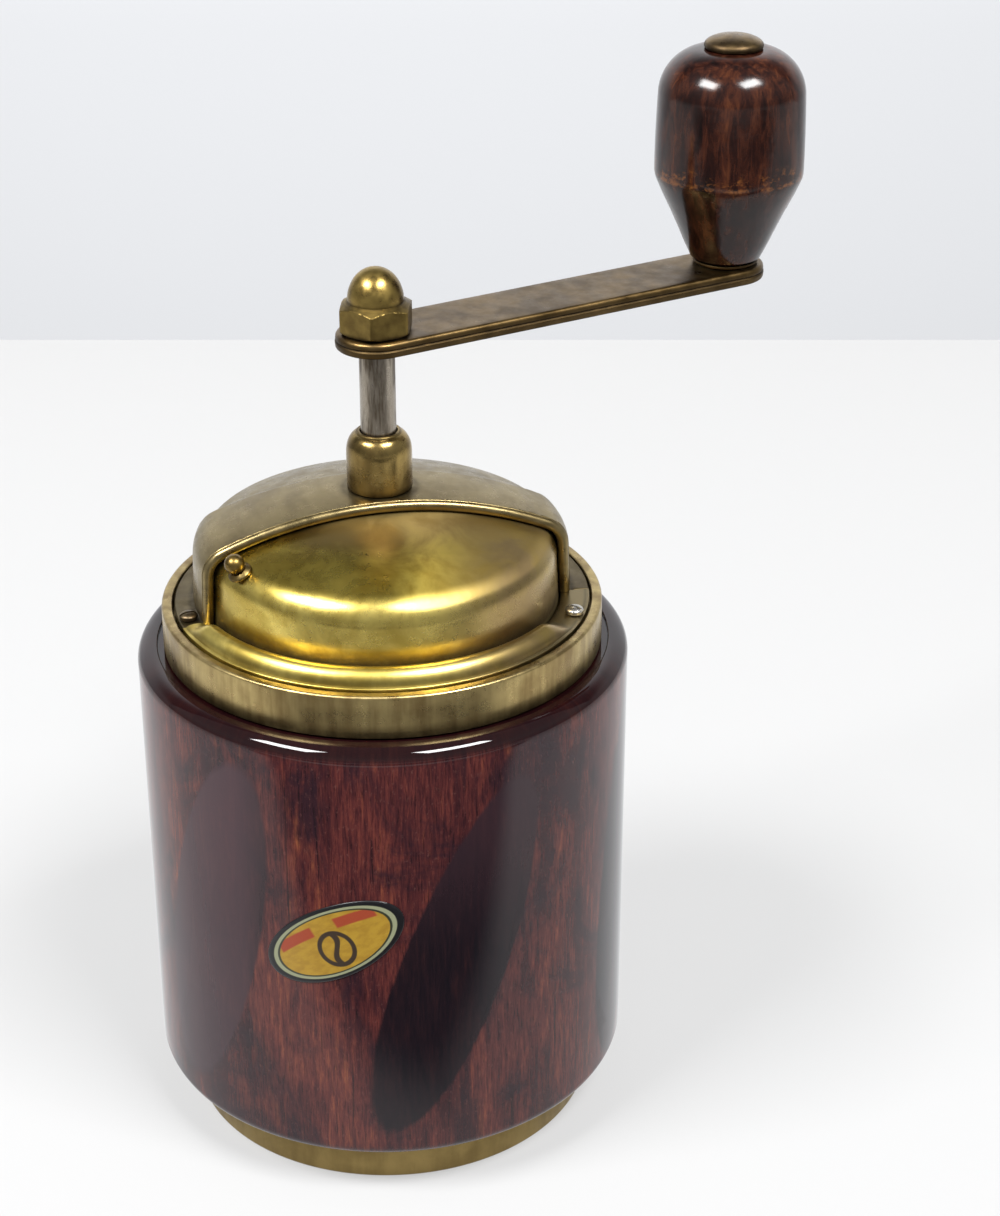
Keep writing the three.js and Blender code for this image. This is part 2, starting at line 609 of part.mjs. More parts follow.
// Places a shape at the door knob's seat, with its own axis square to the shoulder
function doorKnobFrame(geometry) {
  const crownCentre = domeTop - CROWN_RADIUS;
  const shoulderR = DOME_RADIUS - SHOULDER_RADIUS;
  const rise = Math.sqrt((CROWN_RADIUS - SHOULDER_RADIUS) ** 2 - shoulderR ** 2);
  const shoulder = SHOULDER_RADIUS - DOOR_DROP;
  const slope = radians(90 - DOOR_KNOB_TILT);
  const r = shoulderR + shoulder * Math.cos(slope);
  const z = crownCentre + rise + shoulder * Math.sin(slope);
  const shape = geometry.clone().rotateY(radians(DOOR_KNOB_TILT)).translate(r, 0, z);
  return solid(shape.rotateZ(radians(ARCH_TURN - 90 + DOOR_KNOB_TURN)));
}

function makeDoorKnob(parent) {
  const ball = arc(0, DOOR_KNOB_STEM, DOOR_KNOB_RADIUS, DOOR_KNOB_RADIUS, -55, 90, 6);
  const foot = -DOOR_SHEET - DOOR_KNOB_TAIL;
  const knob = [[0, foot], [DOOR_KNOB_NECK, foot], [DOOR_KNOB_NECK, ball[0][1]], ...ball];
  const knobShape = new THREE.LatheGeometry(knob.map(([r, z]) => new THREE.Vector2(r, z)), SMALL).rotateX(Math.PI / 2);
  add('door_knob', 'darkBrass', doorKnobFrame(knobShape), parent);
  const washerTop = DOOR_WASHER_LIFT + DOOR_WASHER_THICKNESS;
  const washer = ring(DOOR_KNOB_NECK + HOLE_GAP, DOOR_WASHER_RADIUS, DOOR_WASHER_LIFT, washerTop, SMALL);
  add('door_knob_washer', 'darkBrass', doorKnobFrame(washer), parent);
}

// How far the crown has come down at a radius
function crownDrop(radius) {
  return CROWN_RADIUS - Math.sqrt(CROWN_RADIUS ** 2 - radius ** 2);
}

// Upper bush and what hangs on its neck
function makeBush() {
  const bore = SHAFT_RADIUS + RUN_GAP;
  add('shaft_bush', 'darkBrass', turned([
    [bore, neckFoot], [NECK_RADIUS, neckFoot], [NECK_RADIUS, bossFoot], [BOSS_RADIUS, bossFoot],
    ...arc(BOSS_LIP, bossTop - BOSS_SHOULDER, BOSS_RADIUS - BOSS_LIP, BOSS_SHOULDER, 0, 90, 5),
    [bore, bossTop],
  ], MIDDLE));
  const inside = NECK_RADIUS + RUN_GAP;
  const doorTop = domeTop - DOOR_DROP;
  const spacerFoot = doorTop + SEAT_GAP;
  const spacerTop = domeTop + BAND_RAISE - SHEET - SEAT_GAP - crownDrop(SPACER_RADIUS);
  add('bush_spacer', 'darkBrass', ring(inside, SPACER_RADIUS, spacerFoot, spacerTop, MIDDLE));
  const washerTop = doorTop - DOOR_SHEET - SEAT_GAP - crownDrop(DOOR_RING_RADIUS);
  const washerFoot = washerTop - DOOR_RING_THICKNESS;
  add('door_washer', 'steel', ring(inside, DOOR_RING_RADIUS, washerFoot, washerTop, MIDDLE));
  const nutTop = washerFoot - SEAT_GAP;
  const corner = BUSH_NUT_FLATS / Math.sqrt(3);
  const nut = solid(prism(6, corner, nutTop - BUSH_NUT_HEIGHT, nutTop))
    .subtract(solid(rod(inside, 0, domeTop, MIDDLE)));
  add('bush_nut', 'steel', nut);
}

// Housing: the cast funnel with a seat for the ring burr and a spider for the lower bush
function makeHousing() {
  const flangeFoot = housingTop - SHELF_THICKNESS;
  const seat = RING_RADIUS + SEAT_GAP;
  const outside = seat + HOUSING_WALL;
  const shell = solid(turned([
    [seat, ringFoot - SEAT_GAP], [outside, ringFoot - SEAT_GAP], [outside, ringTop],
    [HOPPER_MOUTH + HOUSING_WALL / 2, flangeFoot], [HOUSING_FLANGE, flangeFoot], [HOUSING_FLANGE, housingTop],
    [HOPPER_MOUTH, housingTop], [HOUSING_THROAT, throatTop], [HOUSING_THROAT, ringTop + SEAT_GAP],
    [seat, ringTop + SEAT_GAP],
  ]));
  let spider = solid(rod(HUB_RADIUS, hubFoot, hubTop, MIDDLE));
  const funnel = solid(rod(HOPPER_MOUTH + HOUSING_WALL / 4, 0, housingTop, LARGE));
  for (const angle of RIB_ANGLES) {
    const ribTop = hubTop - (HUB_HEIGHT - RIB_HEIGHT) / 2;
    const rib = block([0, -RIB_WIDTH / 2, ribTop - RIB_HEIGHT], [HOPPER_MOUTH, RIB_WIDTH / 2, ribTop]);
    spider = spider.add(solid(rib.rotateZ(radians(angle))).intersect(insideOfHousing()));
  }
  let housing = shell.add(spider.intersect(funnel));
  housing = housing.subtract(solid(rod(LOWER_BUSH_RADIUS + SEAT_GAP, 0, housingTop, MIDDLE)));
  for (const hole of housingScrewHoles(flangeFoot - 1, housingTop + 1)) housing = housing.subtract(hole);
  for (const hole of grubRods(GRUB_RADIUS + HOLE_GAP, RING_RADIUS, outside + 2)) housing = housing.subtract(hole);
  add('mill_housing', 'castIron', housing);

  HOUSING_SCREW_ANGLES.forEach((angle, i) => {
    const place = polar(HOUSING_SCREW_CIRCLE, angle, plateTop + SEAT_GAP);
    add(`housing_screw_${i + 1}`, 'steel', placed(screw(HOUSING_SCREW_LENGTH), place, angle));
  });
  grubRods(GRUB_RADIUS, RING_RADIUS + SEAT_GAP, RING_RADIUS + SEAT_GAP + GRUB_LENGTH)
    .forEach((grub, i) => add(`grub_screw_${i + 1}`, 'steel', grub));
}

// What a rib may fill: up to the middle of the housing's conical wall
function insideOfHousing() {
  const half = HOUSING_WALL / 4;
  return solid(turned([
    [0, throatTop], [HOUSING_THROAT + half, throatTop], [HOPPER_MOUTH + half, housingTop], [0, housingTop],
  ]));
}

// Radial rods through the housing's wall, halfway up the ring burr
function grubRods(radius, from, to) {
  const height = (ringFoot + ringTop) / 2;
  return GRUB_ANGLES.map((angle) => solid(
    rod(radius, from, to, TINY).rotateY(Math.PI / 2).rotateZ(radians(angle)).translate(0, 0, height)));
}

// A turned piece with teeth: where depth(r, z) is more than zero, the radius is
// moved by that depth along a saw-tooth wave that leans with height
function toothed(outline, facets, teeth, lean, depth) {
  const shape = closed(turned(outline, facets));
  const points = shape.getAttribute('position');
  for (let i = 0; i < points.count; i += 1) {
    const [x, y, z] = [points.getX(i), points.getY(i), points.getZ(i)];
    const r = Math.hypot(x, y);
    const wave = (teeth * (Math.atan2(y, x) + lean * z) / (2 * Math.PI)) % 1;
    const share = Math.abs(((wave + 1) % 1) * 2 - 1);
    const moved = r + depth(r, z) * share;
    if (r > 0) points.setXY(i, x * moved / r, y * moved / r);
  }
  return shape;
}

function makeBurrs(innerParent) {
  const waist = ringFoot + RING_HEIGHT * WAIST_SHARE;
  add('ring_burr', 'steel', toothed([
    [RING_OUTLET, ringFoot], [RING_RADIUS, ringFoot], [RING_RADIUS, ringTop],
    [RING_MOUTH + RING_BEVEL / 2, ringTop], [RING_MOUTH, ringTop - RING_BEVEL], [RING_WAIST, waist],
  ], RING_TEETH * 4, RING_TEETH, RING_LEAN, (r) => (r < RING_RADIUS - 0.1 ? TOOTH_DEPTH : 0)));

  const coneWaist = coneFoot + CONE_HEIGHT * WAIST_SHARE;
  const cone = toothed([
    [0, coneFoot], [CONE_FOOT - CONE_EDGE, coneFoot], [CONE_FOOT, coneFoot + CONE_EDGE], [CONE_WAIST, coneWaist],
    [CONE_TOP, coneTop], [0, coneTop],
  ], CONE_TEETH * 4, CONE_TEETH, CONE_LEAN, (r, z) => (z > coneFoot + 0.1 && r > 1 ? -TOOTH_DEPTH : 0));
  const bore = flatted(SHAFT_RADIUS + RUN_GAP, SHAFT_FLATS + 2 * RUN_GAP, coneFoot - 1, coneTop + 1);
  add('cone_burr', 'steel', solid(cone).subtract(bore), innerParent);

  const click = solid(rod(CLICK_RADIUS, clickFoot, clickTop, MIDDLE))
    .subtract(flatted(SHAFT_RADIUS + RUN_GAP, SHAFT_FLATS + 2 * RUN_GAP, clickFoot - 1, clickTop + 1));
  add('click_plate', 'steel', click, innerParent);
}

// Adjusting nut: a wheel with lobes to grip, on the shaft's lower end
function makeAdjuster(parent) {
  const outline = new THREE.Shape();
  const steps = ADJUSTER_LOBES * 6;
  for (let i = 0; i < steps; i += 1) {
    const turn = 2 * Math.PI * i / steps;
    const r = ADJUSTER_RADIUS - LOBE_HEIGHT + LOBE_HEIGHT * Math.cos(ADJUSTER_LOBES * turn);
    outline[i ? 'lineTo' : 'moveTo'](r * Math.cos(turn), r * Math.sin(turn));
  }
  outline.closePath();
  const wheel = new THREE.ExtrudeGeometry(outline, { depth: ADJUSTER_HEIGHT, bevelEnabled: false });
  const bore = rod(SHAFT_RADIUS + RUN_GAP, adjusterFoot - 1, adjusterTop + 1, MIDDLE);
  add('adjusting_nut', 'agedBrass', solid(wheel.translate(0, 0, adjusterFoot)).subtract(solid(bore)), parent);
}

function makeLowerBush() {
  const bore = SHAFT_RADIUS + RUN_GAP;
  add('lower_bush', 'agedBrass', turned([
    [bore, hubFoot], [LOWER_BUSH_RADIUS, hubFoot], [LOWER_BUSH_RADIUS, bushFlangeFoot],
    [LOWER_BUSH_FLANGE, bushFlangeFoot], [LOWER_BUSH_FLANGE, bushFlangeTop], [bore, bushFlangeTop],
  ], MIDDLE));
}

// Shaft: round, with a collar over the lower bush, a groove for the clip under it,
// flats for the burr below and for the arm above, and a thread for the nut
function makeShaft(parent) {
  const groove = SEAT_GAP / 3;
  const turnedShaft = solid(turned([
    [0, shaftFoot], [SHAFT_RADIUS - SHAFT_CHAMFER, shaftFoot], [SHAFT_RADIUS, shaftFoot + SHAFT_CHAMFER],
    [SHAFT_RADIUS, clipFoot - groove], [CLIP_GROOVE, clipFoot - groove],
    [CLIP_GROOVE, clipTop + groove], [SHAFT_RADIUS, clipTop + groove],
    [SHAFT_RADIUS, shaftCollarFoot], [SHAFT_COLLAR_RADIUS, shaftCollarFoot],
    [SHAFT_COLLAR_RADIUS, shaftCollarFoot + SHAFT_COLLAR_HEIGHT],
    [SHAFT_RADIUS, shaftCollarFoot + SHAFT_COLLAR_HEIGHT],
    [SHAFT_RADIUS, armFoot - SEAT_GAP], [THREAD_RADIUS, armFoot - SEAT_GAP],
    [THREAD_RADIUS, shaftTop - SHAFT_CHAMFER], [THREAD_RADIUS - SHAFT_CHAMFER, shaftTop], [0, shaftTop],
  ], MIDDLE));
  const reach = SHAFT_RADIUS + 1;
  const flatCut = (foot, top) => [-1, 1].map((side) => solid(block(
    [-reach, Math.min(side * SHAFT_FLATS / 2, side * reach), foot],
    [reach, Math.max(side * SHAFT_FLATS / 2, side * reach), top])));
  let shaft = turnedShaft;
  for (const cut of flatCut(shaftFoot - 1, seatFoot)) shaft = shaft.subtract(cut);
  const armCuts = flatCut(armFoot - SEAT_GAP, armTop + 0.2).map((cut) => cut.rotate([0, 0, ARM_TURN]));
  for (const cut of armCuts) shaft = shaft.subtract(cut);
  add('shaft', 'steel', shaft, parent);
}

// Clip in the shaft's groove, washer under it, and the spring that presses the burr down
function makeSpringStack(parent) {
  const clip = new THREE.Shape();
  const half = radians(CLIP_MOUTH / 2);
  clip.absarc(0, 0, CLIP_RADIUS, half, 2 * Math.PI - half, false);
  clip.absarc(0, 0, CLIP_GROOVE + 0.1, 2 * Math.PI - half, half, true);
  const clipShape = new THREE.ExtrudeGeometry(clip, {
    depth: CLIP_THICKNESS, bevelEnabled: false, curveSegments: SMALL,
  });
  add('shaft_clip', 'steel', clipShape.translate(0, 0, clipFoot), parent);

  const inside = SHAFT_RADIUS + SEAT_GAP;
  add('spring_seat', 'steel', ring(inside, SEAT_WASHER_RADIUS, seatFoot, seatTop, MIDDLE), parent);
  add('burr_spring', 'steel', helix(springFoot, springTop), parent);
}

// A coil spring as one unbroken tube: each end lies level with its face
function helix(foot, top) {
  const stepsPerTurn = 12;
  const sides = 6;
  const steps = Math.round(SPRING_TURNS * stepsPerTurn);
  const climb = top - foot - 2 * SPRING_WIRE;
  const positions = [];
  const index = [];
  for (let i = 0; i <= steps; i += 1) {
    const turn = 2 * Math.PI * SPRING_TURNS * i / steps;
    const middle = foot + SPRING_WIRE + climb * i / steps;
    for (let k = 0; k < sides; k += 1) {
      const side = 2 * Math.PI * k / sides;
      const r = SPRING_RADIUS + SPRING_WIRE * Math.cos(side);
      positions.push(r * Math.cos(turn), r * Math.sin(turn), middle + SPRING_WIRE * Math.sin(side));
      if (i === steps) continue;
      const [a, b] = [i * sides + k, i * sides + (k + 1) % sides];
      index.push(a, b + sides, b, a, a + sides, b + sides);
    }
  }
  const last = steps * sides;
  for (let k = 1; k < sides - 1; k += 1) index.push(0, k, k + 1, last, last + k + 1, last + k);
  const tube = new THREE.BufferGeometry();
  tube.setAttribute('position', new THREE.Float32BufferAttribute(positions, 3));
  tube.setIndex(index);
  console.log(`burr_spring: least gap to itself ${leastSelfGap(positions, sides, stepsPerTurn / 2).toFixed(2)} mm`);
  return tube;
}

// Least distance between points of the tube that are more than some steps apart along it
function leastSelfGap(positions, sides, apart) {
  const count = positions.length / 3;
  let least = Infinity;
  for (let i = 0; i < count; i += 1) {
    for (let j = i + apart * sides; j < count; j += 1) {
      const [dx, dy, dz] = [0, 1, 2].map((k) => positions[3 * i + k] - positions[3 * j + k]);
      least = Math.min(least, Math.hypot(dx, dy, dz));
    }
  }
  return least;
}

// Crank arm, with its length along +X before it is turned
function makeArm(parent) {
  const half = ARM_WIDTH / 2 - ARM_EDGE;
  const bar = new THREE.Shape();
  bar.absarc(0, 0, half, Math.PI / 2, 3 * Math.PI / 2, false);
  bar.absarc(ARM_LENGTH, 0, half, -Math.PI / 2, Math.PI / 2, false);
  bar.closePath();
  const plate = new THREE.ExtrudeGeometry(bar, {
    depth: ARM_THICKNESS - 2 * ARM_EDGE, curveSegments: 14,
    bevelThickness: ARM_EDGE, bevelSize: ARM_EDGE, bevelSegments: 2,
  }).translate(0, 0, armFoot + ARM_EDGE);
  const shaftHole = flatted(THREAD_RADIUS + RUN_GAP, SHAFT_FLATS + 2 * RUN_GAP, armFoot - 1, armTop + 1);
  const pinHole = rod(PIN_RADIUS + HOLE_GAP, armFoot - 1, armTop + 1).translate(ARM_LENGTH, 0, 0);
  add('crank_arm', 'darkBrass', solid(plate).subtract(shaftHole).subtract(solid(pinHole)), parent);
}

// Cap nut: a hexagon with chamfered corners, a dome and a blind bore
function makeCapNut(parent) {
  const foot = armTop + SEAT_GAP;
  const hexTop = foot + NUT_HEX_HEIGHT;
  const corner = NUT_FLATS / Math.sqrt(3);
  const top = hexTop + NUT_DOME_HEIGHT;
  const chamfer = solid(turned([
    [0, foot], [corner - NUT_CHAMFER, foot], [corner, foot + NUT_CHAMFER * 0.7],
    [corner, hexTop - NUT_CHAMFER], [NUT_DOME_RADIUS, hexTop + 0.4], [0, hexTop + 0.4],
  ], MIDDLE));
  const hexagon = solid(prism(6, corner, foot - 1, hexTop + 2, NUT_TURN - 90)).intersect(chamfer);
  const dome = solid(turned([
    [0, hexTop - 1], [NUT_DOME_RADIUS, hexTop - 1],
    ...arc(0, hexTop, NUT_DOME_RADIUS, top - hexTop, 0, 90, 6),
  ], MIDDLE));
  const bore = solid(rod(THREAD_RADIUS + RUN_GAP, foot - 1, shaftTop + SEAT_GAP, MIDDLE));
  add('cap_nut', 'brightBrass', hexagon.add(dome).subtract(bore), parent);
}

// Knob pin: through arm, washer and knob, with a domed head on top
const knobWasherFoot = armTop + SEAT_GAP;
const knobFoot = knobWasherFoot + KNOB_WASHER_THICKNESS + SEAT_GAP;
const knobTop = knobFoot + KNOB_LENGTH;

function makePin(parent) {
  const headFoot = knobTop + SEAT_GAP;
  const pin = [
    [0, armFoot], [PIN_RADIUS, armFoot], [PIN_RADIUS, headFoot], [PIN_HEAD_RADIUS, headFoot],
    ...arc(0, headFoot + 0.4, PIN_HEAD_RADIUS, PIN_HEAD_HEIGHT - 0.4, 0, 90, 4),
  ];
  const shape = new THREE.LatheGeometry(pin.map(([r, z]) => new THREE.Vector2(r, z)), MIDDLE).rotateX(Math.PI / 2);
  add('knob_screw', 'agedBrass', shape.translate(ARM_LENGTH, 0, 0), parent);
  const washer = ring(PIN_RADIUS + RUN_GAP, KNOB_WASHER_RADIUS, knobWasherFoot,
    knobWasherFoot + KNOB_WASHER_THICKNESS, MIDDLE);
  add('knob_washer', 'darkBrass', washer.translate(ARM_LENGTH, 0, 0), parent);
}

// Crank knob: a turned handle with a cone, a ridge and a rounded top
function makeKnob(parent) {
  const bore = PIN_RADIUS + RUN_GAP;
  const shoulder = knobFoot + KNOB_SHOULDER_RISE;
  const outline = [
    [bore, knobFoot], [KNOB_FOOT, knobFoot], [KNOB_NECK, knobFoot + KNOB_NECK_RISE],
    [KNOB_RIDGE - KNOB_RIDGE_EDGE, knobFoot + KNOB_RIDGE_RISE],
    [KNOB_RIDGE, knobFoot + KNOB_RIDGE_RISE + KNOB_RIDGE_BAND],
    ...arc(PIN_HEAD_RADIUS, shoulder, KNOB_SHOULDER - PIN_HEAD_RADIUS, knobTop - shoulder, 0, 90, 6),
    [bore, knobTop],
  ];
  add('crank_knob', 'knobWood', turned(outline, MIDDLE).translate(ARM_LENGTH, 0, 0), parent);
}

makeFoot();
makeWood();
makeLabel();
makeCollar();
makeTopPlate();
makeSill();
makeDomeCover();
makeFlangeScrews();
makeBush();
makeDoor(group);
makeHousing();
makeLowerBush();
makeBurrs(group);
makeAdjuster(group);
makeShaft(group);
makeSpringStack(group);

const crank = new THREE.Group();
crank.rotation.z = radians(ARM_TURN);
group.add(crank);
makeArm(crank);
makePin(crank);
makeKnob(crank);
makeCapNut(group);

export default group;
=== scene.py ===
"""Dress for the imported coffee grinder: smooth turned and pressed surfaces, and their finishes.

Lengths here are in millimetres and become metres when a piece is made. The front is towards -Y, and
directions are degrees counted from +X towards +Y.
"""

import math

import bmesh
import bpy
import numpy as np
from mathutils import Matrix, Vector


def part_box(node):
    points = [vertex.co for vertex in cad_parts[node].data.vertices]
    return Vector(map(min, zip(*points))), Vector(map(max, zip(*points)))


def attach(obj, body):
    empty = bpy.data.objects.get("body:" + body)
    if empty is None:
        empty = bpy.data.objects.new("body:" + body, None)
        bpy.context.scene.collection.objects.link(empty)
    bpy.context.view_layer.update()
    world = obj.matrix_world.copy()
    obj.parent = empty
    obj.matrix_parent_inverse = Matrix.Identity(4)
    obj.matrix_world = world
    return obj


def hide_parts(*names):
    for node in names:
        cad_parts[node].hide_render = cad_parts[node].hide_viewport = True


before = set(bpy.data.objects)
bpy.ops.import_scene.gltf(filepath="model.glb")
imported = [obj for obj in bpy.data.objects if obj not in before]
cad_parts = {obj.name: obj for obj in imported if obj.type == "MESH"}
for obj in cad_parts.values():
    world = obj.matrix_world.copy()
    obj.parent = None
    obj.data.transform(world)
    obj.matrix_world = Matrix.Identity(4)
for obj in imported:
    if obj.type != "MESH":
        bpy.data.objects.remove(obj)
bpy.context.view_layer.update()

MM = 0.001

# Points this close become one, and an edge this short is taken out
MERGE_WITHIN = 0.002
EMPTY_WITHIN = 0.0001

# Camera, fitted to the photograph's round outlines: place in metres, yaw and dip in degrees, lens in mm
CAMERA_PLACE = (0.0, -0.42247, 0.31499)
CAMERA_YAW = 2.98
CAMERA_DIP = 26.77
CAMERA_LENS = 74.67

# The arch over the door: its direction, and how far its plane stands in front of the axis
ARCH_TURN = -80.5
ARCH_FRONT = 7.0

# The band pressed up across the cover: its direction, its height, where its rear edge lies, and how long
# the step there is
BAND_TURN = -85.0
BAND_RAISE = 1.2
BAND_BACK = -8.5
BAND_STEP = 2.6

# The dome: its sheet, the arcs of its crown and shoulder, its radius and height, and the wall's flare
SHEET = 0.8
CROWN_RADIUS = 74.5
SHOULDER_RADIUS = 4.8
DOME_RADIUS = 33.5
DOME_HEIGHT = 21.4
WALL_FLARE = 0.4

# The crank's arm, from axis to axis, and the wooden body
ARM_TURN = 27.35
ARM_LENGTH = 75.2
BODY_RADIUS = 46.0


def low(node):
    """Lowest corner of a solid, in millimetres."""
    return np.array(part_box(node)[0]) / MM


def high(node):
    """Highest corner of a solid, in millimetres."""
    return np.array(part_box(node)[1]) / MM


HEAD_FOOT = low("dome_cover")[2]
PLATE_RADIUS = high("top_plate")[0]
DOME_TOP = HEAD_FOOT + DOME_HEIGHT
ARM_FOOT = low("crank_arm")[2]
ARM_TOP = high("crank_arm")[2]


# Meshes from grids of points

def grid_faces(rows, columns, wrap_rows=False):
    """Quads between neighbouring rows and columns of a grid whose points are stored row by row."""
    r, c = np.meshgrid(np.arange(rows if wrap_rows else rows - 1), np.arange(columns), indexing="ij")
    after_r = (r + 1) % rows
    after_c = (c + 1) % columns
    corners = [r * columns + c, r * columns + after_c, after_r * columns + after_c, after_r * columns + c]
    return np.stack(corners, axis=-1).reshape(-1, 4)


def first_ring(columns):
    """One face over the first row of a grid."""
    return list(range(columns - 1, -1, -1))


def last_ring(rows, columns):
    """One face over the last row of a grid."""
    return list(range((rows - 1) * columns, rows * columns))


def piece(name, points, faces, body, material, slot, stands_for=(), sharp=32, uv=None, marks=None):
    """A mesh object from points in millimetres: doubles merged, faces turned outwards, and smooth.

    Edges sharper than the angle given stay sharp. faces is an array of quads or a list. uv holds one pair
    for each face corner. marks holds a number from 0 to 1 for each point, row or column of the grid, and
    is kept as a point attribute: how far patina, and painted shade in creases, grooves, joints and
    undersides, cover the point.
    """
    mesh = bpy.data.meshes.new(name)
    corners = (points.reshape(-1, 3) * MM).tolist()
    mesh.from_pydata(corners, [], faces if isinstance(faces, list) else faces.tolist())
    if uv is not None:
        layer = mesh.uv_layers.new(name="print")
        layer.data.foreach_set("uv", np.asarray(uv, dtype=np.float32).ravel())
    if marks is not None:
        spread = np.broadcast_to(np.clip(marks, 0, 1), points.shape[:-1])
        attribute = mesh.attributes.new("patina_and_shade", "FLOAT", "POINT")
        attribute.data.foreach_set("value", spread.astype(np.float32).ravel())
    work = bmesh.new()
    work.from_mesh(mesh)
    bmesh.ops.remove_doubles(work, verts=work.verts, dist=MERGE_WITHIN * MM)
    bmesh.ops.dissolve_degenerate(work, edges=work.edges, dist=EMPTY_WITHIN * MM)
    bmesh.ops.recalc_face_normals(work, faces=work.faces)
    work.to_mesh(mesh)
    work.free()
    mesh.polygons.foreach_set("use_smooth", np.ones(len(mesh.polygons), dtype=bool))
    mesh.set_sharp_from_angle(angle=math.radians(sharp))
    mesh.materials.append(material)
    thing = bpy.data.objects.new(name, mesh)
    bpy.context.scene.collection.objects.link(thing)
    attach(thing, body)
    if stands_for:
        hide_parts(*stands_for)
    return thing


def turned(x, y, degrees):
    """x and y after a turn about the upright axis."""
    cos, sin = math.cos(math.radians(degrees)), math.sin(math.radians(degrees))
    return x * cos - y * sin, x * sin + y * cos


def ease(t):
    """Smooth step from nought to one: t^2 (3 - 2 t)."""
    t = np.clip(t, 0, 1)
    return t * t * (3 - 2 * t)


def bell(value, middle, width):
    """One at the middle and dying away on both sides: e to the power of -((value - middle) / width)^2."""
    return np.exp(-((value - middle) / width) ** 2)


def rounded(corners, steps=6):
    """A profile through corners given as (radius, height, fillet).

    Each fillet is an arc that touches both sides of its corner. Its centre lies on the line that halves the
    corner, fillet / sin(half) away.
    """
    places = np.array([corner[:2] for corner in corners], dtype=float)
    out = []
    for i, (_, _, fillet) in enumerate(corners):
        here = places[i]
        if not fillet:
            out.append(here[None, :])
            continue
        back = places[i - 1] - here
        ahead = places[(i + 1) % len(corners)] - here
        back /= np.hypot(*back)
        ahead /= np.hypot(*ahead)
        half = 0.5 * np.arccos(np.clip(back @ ahead, -1, 1))
        centre = here + (back + ahead) / np.hypot(*(back + ahead)) * fillet / np.sin(half)
        start = here + back * fillet / np.tan(half) - centre
        end = here + ahead * fillet / np.tan(half) - centre
        sweep = np.pi - 2 * half
        t = np.linspace(0, 1, steps + 1)[:, None]
        out.append(centre + (np.sin((1 - t) * sweep) * start + np.sin(t * sweep) * end) / np.sin(sweep))
    return np.concatenate(out)


def ellipse_arc(centre_r, centre_z, radius_r, radius_z, start, end, steps):
    """Points of an ellipse between two angles in degrees, counted from the radius upwards."""
    a = np.radians(np.linspace(start, end, steps + 1))
    return np.stack([centre_r + radius_r * np.cos(a), centre_z + radius_z * np.sin(a)], axis=-1)


def spaced(profile, longest):
    """The same profile with its long steps divided, so that no step is longer than the length given."""
    out = [profile[:1]]
    for start, end in zip(profile[:-1], profile[1:]):
        parts = max(1, math.ceil(np.hypot(*(end - start)) / longest))
        out.append(start + (end - start) * np.linspace(0, 1, parts + 1)[1:, None])
    return np.concatenate(out)


def revolved(profile, columns, closed, centre=(0, 0)):
    """Each profile point (r, z) goes round an upright axis: x = r cos a, y = r sin a, z = z."""
    a = np.linspace(0, 2 * np.pi, columns, endpoint=False)
    r = profile[:, :1]
    x = centre[0] + r * np.cos(a)
    y = centre[1] + r * np.sin(a)
    z = np.broadcast_to(profile[:, 1:], x.shape)
    return np.stack([x, y, z], axis=-1), grid_faces(len(profile), columns, wrap_rows=closed)


# Materials

